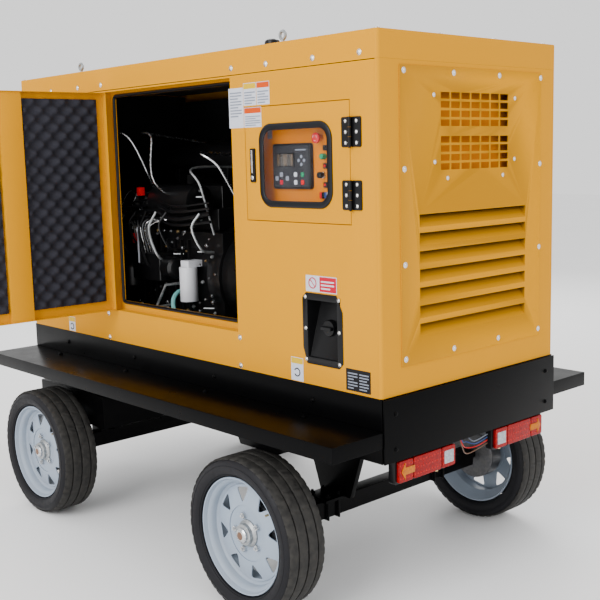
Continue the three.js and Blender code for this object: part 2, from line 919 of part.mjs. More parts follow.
// Each end is a face with a return along both sides, which carries the roof.
const endTop = roofTop - sheet - touchGap;
function endShell(end, openingY, openingZ) {
  const outward = Math.sign(end);
  const inside = sheet + touchGap;
  const skinTop = roofTop - roofSkirt - seam;
  const face = cut(
    block(between(end, end - outward * endSheet), [nearSide, farSide], [sideLow, skinTop]),
    block(between(end + outward, end - outward * endSheet * 2), openingY, openingZ),
  );
  const returns = [-1, 1].map((side) => block(
    between(end - outward * inside, end - outward * cornerReturn),
    between(side * (canopyWidth / 2 - inside), side * (canopyWidth / 2 - inside - sheet)),
    [sideLow, endTop],
  ));
  const lap = sheet / 2;
  const header = block(
    between(end - outward * (endSheet - lap / 3), end - outward * (endSheet + sheet)),
    [nearSide + inside + lap, farSide - inside - lap], [skinTop - headerLap, endTop - lap],
  );
  return join(face, ...returns, header);
}

const ventY = [-ventWidth / 2, ventWidth / 2];
const ventZ = [canopyBottom + ventBottom, canopyBottom + ventBottom + ventHeight];
add('rear_end_shell', endShell(
  rearEnd, [ventY[0] + ventLap, ventY[1] - ventLap], [ventZ[0] + ventLap, ventZ[1] - ventLap],
), 'yellowPaint');

// The removable rear panel has two square-holed grilles above seven louvres.
const ventFace = rearEnd + touchGap;
const grilleLows = grilleUps.map((up) => canopyBottom + up);
const louvreLow = canopyBottom + louvreUp;
function grilleHoles(low) {
  const pitchY = (grilleWidth + grilleBar) / grilleColumns;
  const pitchZ = (grilleHeight + grilleBar) / grilleRows;
  const holes = [];
  for (let column = 0; column < grilleColumns; column += 1) {
    for (let row = 0; row < grilleRows; row += 1) {
      const y = -grilleWidth / 2 + column * pitchY;
      const z = low + row * pitchZ;
      holes.push(block(
        [ventFace - 2, ventFace + sheet + 2], [y, y + pitchY - grilleBar], [z, z + pitchZ - grilleBar],
      ));
    }
  }
  return holes;
}

// A louvre's blade leans in from the slot's lower edge and leaves a mouth below the upper edge.
// A cheek closes each end.
function louvreBlade(z) {
  const face = ventFace + sheet;
  const bladeTop = z + louvreSlot - louvreMouth;
  const blade = prism([
    [z - 1, ventFace],
    [z - 1, face],
    [z + 1, face],
    [bladeTop, face - louvreLean],
    [bladeTop, ventFace - louvreLean],
  ], 'y', [-louvreWidth / 2, louvreWidth / 2]);
  const cheeks = [-1, 1].map((side) => prism([
    [z - 1, ventFace],
    [z - 1, face],
    [z + louvreSlot + 1, face],
    [z + louvreSlot + 1, ventFace],
    [bladeTop, ventFace - louvreLean],
  ], 'y', between(side * louvreWidth / 2, side * (louvreWidth / 2 + louvreCheek))));
  return join(blade, ...cheeks);
}
const louvres = Array.from({ length: louvreCount }, (_, i) => louvreLow + i * louvrePitch);
add('rear_vent_panel', join(
  cut(
    block([ventFace, ventFace + sheet], ventY, ventZ),
    ...grilleLows.flatMap(grilleHoles),
    ...louvres.map((z) => block(
      [ventFace - 1, ventFace + sheet + 1], [-louvreWidth / 2, louvreWidth / 2], [z, z + louvreSlot],
    )),
  ),
  ...louvres.map(louvreBlade),
), 'yellowPaint');

const frontVentLow = canopyBottom + frontVentUp;
const frontOpening = [
  [-frontVentWidth / 2, frontVentWidth / 2], [frontVentLow, frontVentLow + frontVentHeight],
];
const frontPitch = frontVentHeight / frontBars;
add('front_end_shell', join(
  endShell(frontEnd, ...frontOpening),
  ...Array.from({ length: frontBars - 1 }, (_, i) => block(
    [frontEnd, frontEnd + sheet], [frontOpening[0][0] - 1, frontOpening[0][1] + 1],
    [frontVentLow + (i + 1) * frontPitch - frontBar / 2, frontVentLow + (i + 1) * frontPitch + frontBar / 2],
  )),
), 'yellowPaint');

// Lifting eyes stand on a bar under each long edge of the roof and pass through it.
const roofHoles = liftX.flatMap((x) => [-1, 1].map((side) => rod(
  'z', liftHole, [roofTop - roofSkirt, roofTop + 10], [x, side * (canopyWidth / 2 - liftInset)], 16,
)));
add('roof', cut(
  block([frontEnd, rearEnd], [nearSide, farSide], [panelTop + seam, roofTop]),
  block(
    [frontEnd + sheet, rearEnd - sheet], [nearSide + sheet, farSide - sheet], [panelTop, roofTop - sheet],
  ),
  ...roofHoles,
), 'yellowPaint');

for (const [name, side] of [['near_lifting_bar', -1], ['far_lifting_bar', 1]]) {
  const y = side * (canopyWidth / 2 - liftInset);
  const barTop = roofTop - sheet - touchGap;
  const eyeZ = roofTop + liftStem;
  const eyes = liftX.flatMap((x) => {
    const loop = Array.from({ length: 7 }, (_, i) => {
      const angle = (2 * Math.PI * i) / 6;
      return [liftRing - liftWire + liftWire * Math.cos(angle), liftWire * Math.sin(angle)];
    });
    return [
      turned(loop, 'y', 16).translate(x, y, eyeZ),
      rod('z', liftHole - 2, [barTop - 2, eyeZ - liftRing + liftWire], [x, y], 8),
    ];
  });
  const bar = block(
    [frontEnd + cornerReturn, rearEnd - cornerReturn], [y - liftBar / 2, y + liftBar / 2],
    [barTop - liftBar, barTop],
  );
  add(name, join(bar, ...eyes), 'zinc');
}

// ---- Engine doors --------------------------------------------------------------------------

const foamWidth = (doorWidth - 2 * foamMargin - foamStile) / 2;
const foamZ = [doorLow + foamMargin + 5, doorHigh - foamMargin + 10];
// A door is drawn shut about its own hinge: +X along the leaf, +Y into the canopy.
function doorLeaf() {
  const leafX = [doorGap, doorWidth - doorGap];
  const leafZ = [doorLow + doorGap, doorHigh - doorGap];
  const skin = block(leafX, [hingeInset, hingeInset + sheet], leafZ);
  const rim = frameBlock(
    leafX, [hingeInset, hingeInset + doorDepth], leafZ,
    [leafX[0] + sheet, leafX[1] - sheet], [hingeInset + sheet, hingeInset + doorDepth + 1],
    [leafZ[0] + sheet, leafZ[1] - sheet],
  );
  return join(skin, rim);
}

// The near leaf has a stile between its two foam panels.
function doorStile() {
  const stileFrom = foamMargin + foamWidth + 8;
  return block(
    [stileFrom, doorWidth - stileFrom], [hingeInset + sheet - 1, hingeInset + foamThickness],
    [doorLow + doorGap + 1, doorHigh - doorGap - 1],
  );
}

function doorFoam(start, end) {
  const face = hingeInset + sheet + touchGap;
  return block([start, end], [face, face + foamThickness - sheet], foamZ);
}

const paddleX = doorWidth - paddleFromEdge;
const paddleZ = [doorLow + doorHeight / 2 - paddleHeight / 2, doorLow + doorHeight / 2 + paddleHeight / 2];
function doorPaddle() {
  return block([paddleX, paddleX + paddleWidth], [hingeInset - 8, hingeInset - touchGap], paddleZ);
}

function hang(prefix, side, angle) {
  const hinge = new THREE.Group();
  hinge.position.set(hingeX, side * (canopyWidth / 2 + hingeInset), 0);
  hinge.rotation.z = THREE.MathUtils.degToRad(angle);
  trailer.add(hinge);
  const place = (solid) => (side < 0 ? solid : solid.mirror([0, 1, 0]));
  const leaf = side < 0 ? join(doorLeaf(), doorStile()) : doorLeaf();
  add(`${prefix}_door`, place(leaf), 'yellowPaint', hinge);
  add(`${prefix}_door_latch`, place(doorPaddle()), 'blackPlastic', hinge);
  return { hinge, place };
}

const near = hang('near', -1, -doorOpenAngle);
const foamEnd = doorWidth - foamMargin;
add('near_door_foam_front', doorFoam(foamMargin, foamMargin + foamWidth), 'foam', near.hinge);
add('near_door_foam_rear', doorFoam(foamEnd - foamWidth, foamEnd), 'foam', near.hinge);
const far = hang('far', 1, 0);
add('far_door_foam', far.place(doorFoam(foamMargin, foamEnd)), 'foam', far.hinge);

// ---- Control door and panel ----------------------------------------------------------------

const controlSkin = [nearSide, nearSide + sheet];
const leafX = [controlX[0] + doorGap, controlX[1] - doorGap];
const leafZ = [controlZ[0] + doorGap, controlZ[1] - doorGap];
const windowX = [rearEnd - windowFromRear - windowWidth, rearEnd - windowFromRear];
const windowZ = [canopyBottom + windowBottom, canopyBottom + windowBottom + windowHeight];
// A hinge has a leaf and two knuckles on the canopy, with the door's knuckle between them.
const knuckleY = nearSide - knuckleOut;
const knuckleX = controlX[1] + knuckleRadius + 1;
const hingeLows = hingeUps.map((up) => canopyBottom + up);

function knuckle(side, low, high) {
  return join(
    rod('z', knuckleRadius, [low, high], [knuckleX, knuckleY], 12),
    block(between(knuckleX, knuckleX + side * 5), [knuckleY, nearSide - touchGap - 1], [low, high]),
  );
}

function fixedHinge(low) {
  const third = hingeTall / 3;
  return join(
    block(
      [knuckleX + 1, knuckleX + hingeLeaf], [nearSide - touchGap - hingeLeafThick, nearSide - touchGap],
      [low, low + hingeTall],
    ),
    knuckle(1, low, low + third),
    knuckle(1, low + 2 * third, low + hingeTall),
  );
}

function movingHinge(low) {
  const third = hingeTall / 3;
  return [
    block(
      [knuckleX - hingeLeaf, knuckleX - 3], [nearSide - hingeLeafThick, nearSide + 1],
      [low, low + hingeTall],
    )
      .subtract(block([leafX[1], knuckleX], [nearSide - touchGap, nearSide + 2], [low, low + hingeTall])),
    knuckle(-1, low + third + knuckleGap, low + 2 * third - knuckleGap),
  ];
}

const windowHole = roundedRect(inset(windowZ, 8), inset(windowX, 8), windowCorner - 8);
add('control_door', cut(
  frameBlock(
    leafX, [nearSide, nearSide + controlDoorDepth], leafZ,
    inset(leafX, sheet), [nearSide + sheet, nearSide + controlDoorDepth + 1], inset(leafZ, sheet),
  ),
  prism(windowHole, 'y', [nearSide - 5, nearSide + sheet + 5]),
).add(join(...hingeLows.flatMap(movingHinge))), 'yellowPaint');

['lower', 'upper'].forEach((level, i) => {
  add(`${level}_control_hinge`, fixedHinge(hingeLows[i]), 'blackPlastic');
});

// The window is a pane held by a rubber band on the outside of the door.
const bandFace = nearSide - touchGap;
const pane = prism(
  roundedRect(inset(windowZ, 8 + touchGap), inset(windowX, 8 + touchGap), windowCorner - 8),
  'y', [bandFace - 1, nearSide + sheet],
);
const band = prism(roundedRect(windowZ, windowX, windowCorner), 'y', [bandFace - 5, bandFace]);
const bandHole = prism(
  roundedRect(inset(windowZ, windowBand), inset(windowX, windowBand), windowCorner - windowBand),
  'y', [bandFace - 6, bandFace - 1.5],
);
add('control_window', join(cut(band, bandHole), pane), 'glass');

const latchX = [leafX[0] + latchFromEdge, leafX[0] + latchFromEdge + latchWide];
const latchZ = latchUps.map((up) => canopyBottom + up);
add('control_latch', block(latchX, [nearSide - latchProud, nearSide - touchGap], latchZ), 'blackPlastic');

const boxX = inset(controlX, recessLip);
const boxZ = inset(controlZ, recessLip);
const boxFront = nearSide + sheet + touchGap;
const panelY = nearSide + recessDepth;
const buttonColumn = rearEnd - buttonsFromRear;
const buttons = {
  emergency_stop: { x: buttonColumn - 17, z: canopyBottom + 909, head: 20, stem: 8, lift: 12, finish: 'red' },
  start_button: { x: buttonColumn + 7, z: canopyBottom + 842, head: 11, stem: 11, lift: 6, finish: 'green' },
};

function bezel({ x, z, stem, lift }) {
  return cut(
    rod('y', stem + bezelWall, [panelY - lift, panelY + 1], [x, z], buttonSides),
    rod('y', stem + touchGap, [panelY - lift - 1, panelY], [x, z], buttonSides),
  );
}

add('control_box', join(
  frameBlock(
    inset(boxX, -sheet), [boxFront + controlDoorDepth, panelY + sheet], inset(boxZ, -sheet),
    boxX, [boxFront, panelY], boxZ,
  ),
  frameBlock(
    inset(controlX, -boxFlange), [boxFront, boxFront + sheet], inset(controlZ, -boxFlange),
    controlX, [boxFront - 1, boxFront + sheet + 1], controlZ,
  ),
  frameBlock(
    inset(controlX, -sheet), [boxFront + sheet - 1, boxFront + controlDoorDepth + sheet],
    inset(controlZ, -sheet),
    controlX, [boxFront, boxFront + controlDoorDepth], controlZ,
  ).subtract(block(boxX, [boxFront, panelY], boxZ)),
  ...Object.values(buttons).map(bezel),
), 'yellowPaint');

const controllerX = rearEnd - controllerFromRear;
const controllerZ = canopyBottom + controllerUp;
const panelFace = panelY - touchGap;
add('controller', block(
  [controllerX - controllerWidth / 2, controllerX + controllerWidth / 2],
  [panelFace - controllerDepth, panelFace],
  [controllerZ - controllerHeight / 2, controllerZ + controllerHeight / 2],
), 'blackPlastic');

// Each button is a cap on a stem that slides in its bezel.
for (const [name, { x, z, head, stem, lift, finish }] of Object.entries(buttons)) {
  const under = panelY - lift - buttonTravel - 1;
  add(name, join(
    rod('y', head, [under - headTall, under], [x, z], buttonSides),
    rod('y', stem, [under - 1, panelY - buttonTravel - touchGap], [x, z], buttonSides),
  ), finish);
}

const keyX = buttonColumn - keyShift;
const keyZ = canopyBottom + keyUp;
add('key_switch', join(
  rod('y', keyRadius, [panelFace - keyBarrel, panelFace], [keyX, keyZ], 16),
  block(
    [keyX - keyThick / 2, keyX + keyThick / 2], [panelFace - keyLong, panelFace - keyBarrel + 1],
    [keyZ - keyHalf, keyZ + keyHalf],
  ),
), 'zinc');

// ---- Fuel filler ---------------------------------------------------------------------------

const rimX = inset(fillerX, fillerRim);
const rimZ = inset(fillerZ, fillerRim);
const fillerFace = nearSide - touchGap;
const slopeRise = rimZ[1] - rimZ[0];
const slopeRun = fillerDeep - fillerShallow;
const slopeAngle = Math.atan2(slopeRun, slopeRise);

// The pocket's floor leans in from its low front edge to its high back edge.
function pocketBlock(grow, mouth) {
  const outline = [
    [mouth, rimZ[0] - grow],
    [nearSide + fillerShallow + grow, rimZ[0] - grow],
    [nearSide + fillerDeep + grow, rimZ[1] + grow],
    [mouth, rimZ[1] + grow],
  ];
  return prism(outline, 'x', [rimX[0] - grow, rimX[1] + grow]);
}
const plateOutline = [
  [fillerZ[0], fillerX[0] + chamfer],
  [fillerZ[0] + chamfer * 3, fillerX[0]],
  [fillerZ[1] - chamfer, fillerX[0]],
  [fillerZ[1], fillerX[0] + chamfer],
  [fillerZ[1], fillerX[1] - chamfer * 1.5],
  [fillerZ[1] - chamfer * 3, fillerX[1]],
  [fillerZ[0] + chamfer, fillerX[1]],
  [fillerZ[0], fillerX[1] - chamfer],
];
add('filler_recess', cut(
  join(
    prism(plateOutline, 'y', [fillerFace - plateThickness, fillerFace]),
    pocketBlock(plateThickness, fillerFace - 1),
  ),
  pocketBlock(0, fillerFace - 10),
), 'blackPaint');

const filler = new THREE.Group();
filler.position.set(
  (fillerX[0] + fillerX[1]) / 2, nearSide + fillerShallow + slopeRun * capAt, rimZ[0] + slopeRise * capAt,
);
filler.rotation.x = Math.PI / 2 - slopeAngle;
trailer.add(filler);
add('fuel_cap', join(
  rod('z', fillerCapRadius, [touchGap, fillerCapHeight], [0, 0], 24),
  block(
    [-capGripHalf[0], capGripHalf[0]], [-capGripHalf[1], capGripHalf[1]],
    [fillerCapHeight - 1, fillerCapHeight + capGripProud],
  ),
), 'blackPlastic', filler);

// ---- Engine, alternator and cooling --------------------------------------------------------

const engineFront = frontEnd + engineFromFront;
const engineRear = engineFront + engineLength;
const blockLow = bayFloor + footHeight;
const blockTop = blockLow + blockHeight;
const crankZ = bayFloor + crankHeight;
const feetAt = [engineFront + feetFromEnds[0], engineRear - feetFromEnds[1]];
const mount = (x, side) => block(
  [x - footHalf, x + footHalf],
  between(side * (engineWidth / 2 - footInner), side * (engineWidth / 2 + footOuter)),
  [bayFloor, blockLow + footLap],
);
add('engine_block', cut(
  join(
    block([engineFront, engineRear], [-engineWidth / 2, engineWidth / 2], [blockLow, blockTop]),
    rod('x', engineWidth / 2 + housingProud, [engineRear - housingLong, engineRear], [0, crankZ], 28),
    ...feetAt.flatMap((x) => [mount(x, -1), mount(x, 1)]),
  ),
  block(
    inset([engineFront, engineRear], housingLong),
    inset([-engineWidth / 2, engineWidth / 2], blockWall),
    [blockLow - 1, blockTop - blockWall * 2],
  ),
), 'engineBlack');

const headLow = blockTop + touchGap;
const headSpan = (steps) => [
  engineFront + headInsets[0] + steps * coverStep, engineRear - headInsets[1] - steps * coverStep,
];
add('cylinder_head', cut(join(
  block(headSpan(0), [-headWidth / 2, headWidth / 2], [headLow, headLow + headHeight / 2]),
  block(
    headSpan(1), [-headWidth / 3, headWidth / 3],
    [headLow + headHeight / 2 - 1, headLow + headHeight],
  ),
), block(
  headSpan(2), [-headWidth / 4, headWidth / 4],
  [headLow - 1, headLow + headHeight - blockWall],
)), 'engineBlack');

const alternatorFront = engineRear + touchGap;
const alternatorRear = alternatorFront + alternatorLength;
add('alternator', cut(
  join(
    rod('x', alternatorRadius, [alternatorFront, alternatorRear], [0, crankZ], 32),
    block(
      [alternatorFront + alternatorFoot, alternatorRear - alternatorFoot],
      [-alternatorRadius, alternatorRadius],
      [bayFloor, crankZ - alternatorFootDrop],
    ),
    block(
      [alternatorFront + terminalInsets[0], alternatorRear - terminalInsets[1]],
      [-terminalHalf, terminalHalf],
      [crankZ + alternatorRadius - terminalSink, crankZ + alternatorRadius + terminalTall],
    ),
  ),
  rod('x', alternatorBore, [alternatorFront + boreFrom, alternatorRear + 1], [0, crankZ], 24),
), 'engineBlack');

const radiatorX = [frontEnd + radiatorFromFront, frontEnd + radiatorFromFront + radiatorThickness];
const radiatorLow = bayFloor + radiatorFloorGap;
add('radiator', join(
  block(radiatorX, [-radiatorWidth / 2, radiatorWidth / 2], [radiatorLow, radiatorLow + radiatorHeight]),
  ...[-1, 1].map((side) => block(
    radiatorX,
    [side * radiatorWidth / 2 - radiatorFootHalf, side * radiatorWidth / 2 + radiatorFootHalf],
    [bayFloor, radiatorLow + radiatorHeight / 2],
  )),
), 'engineBlack');

// The fan sits on a shaft at the front of the engine, in line with the radiator.
const fanX = radiatorX[1] + fanFromRadiator;
const fanZ = crankZ + fanAboveCrank;
const blade = (i) => {
  const angle = (2 * Math.PI * i) / fanBlades;
  const geometry = new THREE.BoxGeometry(fanBladeThick, fanBladeWide, fanRadius - fanRoot);
  geometry.translate(0, 0, (fanRadius - fanRoot) / 2 + fanRoot);
  const twist = new THREE.Matrix4().makeRotationZ(THREE.MathUtils.degToRad(fanTwist));
  geometry.applyMatrix4(twist);
  geometry.rotateX(angle);
  geometry.translate(fanX + fanDepth / 2, 0, fanZ);
  return toSolid(geometry);
};
add('cooling_fan', join(
  rod('x', fanHub, [fanX, fanX + fanDepth], [0, fanZ], 20),
  rod('x', fanShaft, [fanX + shaftLap, engineFront - touchGap], [0, fanZ], 16),
  ...Array.from({ length: fanBlades }, (_, i) => blade(i)),
), 'blackPlastic');

// The exhaust silencer lies across the rear of the engine, on a bracket from the head.
const headTop = headLow + headHeight;
const mufflerZ = headTop + mufflerUp;
add('muffler', join(
  rod('x', mufflerRadius, mufflerSpan.map((back) => engineFront + back), [mufflerY, mufflerZ], 24),
  ...bracketSpans.map((span) => block(
    span.map((back) => engineFront + back), bracketWidth, [headTop + touchGap, mufflerZ],
  )),
), 'zinc');

const intakeY = -headWidth / 2 - intakeOut;
add('air_filter', join(
  rod(
    'x', filterBodyRadius, filterBodySpan.map((back) => engineRear - back),
    [intakeY, blockTop + intakeUp], 24,
  ),
  block(
    intakeBracket.map((back) => engineRear - back), [intakeY, -headWidth / 2 - touchGap],
    intakeBracketUps.map((up) => blockTop + up),
  ),
), 'blackPlastic');

const batteryX = alternatorRear + batteryGap;
add('battery', block(
  [batteryX, batteryX + batterySize[1]], [batteryOut, batteryOut + batterySize[0]],
  [bayFloor, bayFloor + batterySize[2]],
), 'blackPlastic');

const filterX = engineRear - filterFromRear;
const filterZ = blockLow + filterUp;
const filterY = -engineWidth / 2 - filterOut;
add('fuel_filter', join(
  rod('z', filterRadius, [filterZ - filterTall, filterZ], [filterX, filterY], 20),
  block(
    [filterX - filterHeadHalf, filterX + filterHeadHalf],
    [filterY - filterHeadDepth, -engineWidth / 2 - touchGap],
    [filterZ - 1, filterZ + filterHeadHalf],
  ),
), 'white');

// A hose drops from the fuel filter's side and turns back in to the block.
const hoseX = filterX - hoseFromFilter;
const hoseY = -engineWidth / 2 - hoseOut;
const hoseEnd = -engineWidth / 2 - 2 * touchGap;
const hoseTop = filterZ - hoseDrops[0];
const hoseLow = filterZ - hoseDrops[1];
add('coolant_hose', tube([
  [hoseX, hoseEnd, hoseTop],
  [hoseX, hoseEnd - 12, hoseTop],
  [hoseX, hoseEnd - 34, hoseTop - 4],
  [hoseX, hoseY, hoseTop - 32],
  [hoseX + 6, hoseY - 4, hoseTop - 92],
  [hoseX + 40, hoseY - 6, hoseLow + 22],
  [hoseX + 110, hoseY - 4, hoseLow],
  [hoseX + 165, hoseY + 4, hoseLow],
  [hoseX + 196, hoseY + 26, hoseLow],
  [hoseX + 204, hoseEnd - 12, hoseLow],
  [hoseX + 204, hoseEnd, hoseLow],
], hoseRadius, hoseSteps), 'teal');

// ---- Origin: the middle of the model's box, on the ground ----------------------------------

const openSpan = (doorWidth - doorGap) * Math.sin(THREE.MathUtils.degToRad(doorOpenAngle));
const model = new THREE.Group();
const frontTip = frontAxleX + eyeX - eyeRadius;
const rearTip = deckRear + touchGap + tailBoardPlate;
const nearTip = nearSide - hingeInset - openSpan;
const farTip = Math.max(deckHalf, wheelY + tyreWidth / 2);
trailer.position.set(-(frontTip + rearTip) / 2, -(nearTip + farTip) / 2, 0);
model.add(trailer);

export default model;
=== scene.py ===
import json
import math

import bmesh
import bpy
from mathutils import Matrix, Vector


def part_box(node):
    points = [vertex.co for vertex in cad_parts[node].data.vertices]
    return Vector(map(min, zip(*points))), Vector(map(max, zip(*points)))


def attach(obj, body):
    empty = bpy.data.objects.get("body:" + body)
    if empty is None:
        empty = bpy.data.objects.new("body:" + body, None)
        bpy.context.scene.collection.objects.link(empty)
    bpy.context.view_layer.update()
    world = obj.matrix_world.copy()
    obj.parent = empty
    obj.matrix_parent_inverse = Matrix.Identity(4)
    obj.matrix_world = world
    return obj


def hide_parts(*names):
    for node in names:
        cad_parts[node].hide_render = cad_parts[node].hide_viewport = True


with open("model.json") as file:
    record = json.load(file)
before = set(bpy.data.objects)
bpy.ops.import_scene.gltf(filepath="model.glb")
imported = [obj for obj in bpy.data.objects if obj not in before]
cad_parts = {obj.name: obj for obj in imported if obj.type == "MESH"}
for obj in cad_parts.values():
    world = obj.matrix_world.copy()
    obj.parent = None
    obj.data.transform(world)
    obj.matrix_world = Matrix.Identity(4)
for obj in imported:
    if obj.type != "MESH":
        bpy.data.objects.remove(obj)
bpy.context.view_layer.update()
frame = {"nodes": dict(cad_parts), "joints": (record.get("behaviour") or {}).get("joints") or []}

# reference planes of the machine, all taken from the frame
roofLow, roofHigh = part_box("roof")
baseLow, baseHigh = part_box("base_frame")
deckLow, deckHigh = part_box("deck")
frontX, rearX = roofLow.x, roofHigh.x
nearY, farY = roofLow.y, roofHigh.y
midY = (nearY + farY) / 2
sillZ = baseHigh.z
joints = {joint["name"]: joint for joint in frame["joints"]}


def pivot(name):
    return Vector(joints[name]["pos_m"])


def onSide(fromRear, up, out=0.0):  # a point on the service side, measured from the rear bottom corner
    return Vector((rearX - fromRear, nearY - out, sillZ + up))


def onEnd(across, up, out=0.0):  # a point on the louvred end
    return Vector((rearX + out, nearY + across, sillZ + up))


class Field:  # a value that varies over a surface
    def __init__(self, finish, socket):
        self.finish = finish
        self.socket = socket

    def combine(self, operation, first, second):
        return self.finish.node("Math", {"operation": operation}, {0: first, 1: second})

    def __add__(self, other):
        return self.combine("ADD", self, other)

    def __radd__(self, other):
        return self.combine("ADD", other, self)

    def __sub__(self, other):
        return self.combine("SUBTRACT", self, other)

    def __rsub__(self, other):
        return self.combine("SUBTRACT", other, self)

    def __mul__(self, other):
        return self.combine("MULTIPLY", self, other)

    def __rmul__(self, other):
        return self.combine("MULTIPLY", other, self)


class Finish:  # one material, with its varying inputs built from nodes
    def __init__(self, name, **fixed):
        self.material = bpy.data.materials.new(name)
        self.material.use_nodes = True
        self.tree = self.material.node_tree
        self.shader = self.tree.nodes["Principled BSDF"]
        for socket, value in fixed.items():
            self.shader.inputs[socket.replace("_", " ")].default_value = value
        self.place = self.node("TexCoord", out="Object")

    def node(self, kind, settings=None, sockets=None, out=0):
        made = self.tree.nodes.new("ShaderNode" + kind)
        for key, value in (settings or {}).items():
            if key == "stops":
                self.setStops(made.color_ramp, value)
            else:
                setattr(made, key, value)
        for key, value in (sockets or {}).items():
            if isinstance(value, Field):
                self.tree.links.new(value.socket, made.inputs[key])
            else:
                made.inputs[key].default_value = value
        return Field(self, made.outputs[out])

    def setStops(self, ramp, stops):
        for i, (place, colour) in enumerate(stops):
            stop = ramp.elements[i] if i < 2 else ramp.elements.new(place)
            stop.position = place
            stop.color = colour

    def feed(self, socket, field):
        self.tree.links.new(field.socket, self.shader.inputs[socket])

    def noise(self, scale, detail=3.0, place=None):
        return self.node("TexNoise", {}, {"Vector": place or self.place, "Scale": scale, "Detail": detail})

    def cells(self, scale, out="Distance"):
        return self.node("TexVoronoi", {}, {"Vector": self.place, "Scale": scale}, out)

    def mix(self, share, first, second):
        return self.node("Mix", {"data_type": "RGBA"}, {0: share, 6: first, 7: second}, 2)

    def step(self, field, low, high):  # 0 below low, 1 above high, smooth between
        stops = [(low, (0, 0, 0, 1)), (high, (1, 1, 1, 1))]
        return self.node("ValToRGB", {"stops": stops}, {0: field})

    def height(self):
        return self.node("SeparateXYZ", {}, {0: self.place}, "Z")

    def relief(self, field, depth, strength=1.0):
        self.feed("Normal", self.node("Bump", {},
                                      {"Height": field, "Distance": depth, "Strength": strength}))


def tone(colour, by):
    return tuple(min(1.0, c * by) for c in colour[:3]) + (1.0,)


def solid(red, green, blue):
    return (red, green, blue, 1.0)


# powder coat or enamel: fine orange peel, faint cloudiness and a little dust in the gloss
def paint(name, colour, rough, peel=0.00005, cloud=0.06, dust=None, gloss=0.5):
    made = Finish(name, Specular_IOR_Level=gloss)
    cloudy = made.noise(2.2, 4.0)
    base = made.mix(cloudy, tone(colour, 1 - cloud), tone(colour, 1 + cloud))
    smear = made.noise(14.0, 5.0)
    roughness = rough + (smear - 0.5) * (rough * 0.45)
    if dust:
        dusty = made.step(made.noise(9.0, 6.0) - made.height() * dust["fade"], dust["low"], dust["high"])
        base = made.mix(dusty * dust["most"], base, dust["colour"])
        roughness = roughness + dusty * 0.25
    made.feed("Base Color", base)
    made.feed("Roughness", roughness)
    made.relief(made.noise(420.0, 2.0), peel)
    return made


def moulded(name, colour, rough, grain=0.00012, scale=900.0, cloud=0.12, **fixed):
    made = Finish(name, **fixed)
    patch = made.noise(18.0, 4.0)
    made.feed("Base Color", made.mix(patch, tone(colour, 1 - cloud), tone(colour, 1 + cloud)))
    made.feed("Roughness", rough + (made.noise(60.0, 3.0) - 0.5) * 0.16)
    made.relief(made.noise(scale, 2.0), grain)
    return made


# zinc: spangled crystals, each with its own tone and gloss
def zincPlate(name, colour, rough, spangle, spread=0.22, metal=1.0):
    made = Finish(name, Metallic=metal)
    crystal = made.node("SeparateColor", {}, {0: made.cells(spangle, "Color")}, "Red")
    tarnish = made.noise(26.0, 5.0)
    tint = made.mix(crystal, tone(colour, 1 - spread), tone(colour, 1 + spread))
    made.feed("Base Color", made.mix(made.step(tarnish, 0.52, 0.72) * 0.35, tint, solid(0.2, 0.19, 0.17)))
    made.feed("Roughness", rough + crystal * 0.14 + (tarnish - 0.5) * 0.3)
    made.relief(made.noise(700.0, 3.0), 0.00006)
    return made


def foamFinish():
    made = Finish("acousticFoam", Specular_IOR_Level=0.12)
    pores = made.noise(620.0, 4.0)
    patch = made.noise(7.0, 3.0)
    base = made.mix(patch, solid(0.011, 0.011, 0.014), solid(0.019, 0.019, 0.025))
    made.feed("Base Color", made.mix(made.step(pores, 0.35, 0.7), base, solid(0.032, 0.032, 0.042)))
    made.feed("Roughness", 0.82 + pores * 0.15)
    made.relief(pores, 0.0009, 0.8)
    return made


def tyreRubber():
    made = Finish("tyreRubber", Specular_IOR_Level=0.2)
    cloudy = made.noise(11.0, 5.0)
    base = made.mix(cloudy, solid(0.003, 0.003, 0.0045), solid(0.007, 0.007, 0.0095))
    dusty = made.step(made.noise(55.0, 6.0), 0.45, 0.8)
    made.feed("Base Color", made.mix(dusty * 0.3, base, solid(0.022, 0.02, 0.02)))
    made.feed("Roughness", 0.5 + dusty * 0.25 + (cloudy - 0.5) * 0.2)
    made.relief(made.noise(340.0, 4.0), 0.0003)
    return made


def treadRubber():
    made = Finish("treadRubber", Specular_IOR_Level=0.22)
    dusty = made.step(made.noise(38.0, 6.0), 0.3, 0.7)
    made.feed("Base Color", made.mix(dusty, solid(0.013, 0.0125, 0.012), solid(0.036, 0.034, 0.031)))
    made.feed("Roughness", 0.62 + dusty * 0.2)
    made.relief(made.noise(260.0, 5.0), 0.0006)
    return made


def lampLens(name, colour, deep):
    made = Finish(name, Coat_Weight=0.1, Coat_Roughness=0.06, Specular_IOR_Level=0.12)
    facet = made.cells(95.0)
    made.feed("Base Color", made.mix(facet, colour, deep))
    made.feed("Roughness", 0.14 + facet * 0.2)
    made.relief(facet, 0.0009, 0.6)
    return made


def labelPrint(name, colour, rough=0.35):
    made = Finish(name, Specular_IOR_Level=0.15)
    made.feed("Base Color", made.mix(made.noise(45.0, 3.0), tone(colour, 0.93), tone(colour, 1.04)))
    made.feed("Roughness", rough + (made.noise(90.0, 2.0) - 0.5) * 0.1)
    made.relief(made.noise(240.0, 2.0), 0.00008)
    return made


def clearPane():
    made = Finish("clearPane", Roughness=0.04, IOR=1.45, Specular_IOR_Level=0.15)
    smear = made.step(made.noise(9.0, 4.0), 0.35, 0.8)
    made.feed("Base Color", made.mix(smear, solid(0.1, 0.1, 0.12), solid(0.3, 0.31, 0.33)))
    made.feed("Alpha", 0.02 + smear * 0.03)
    return made


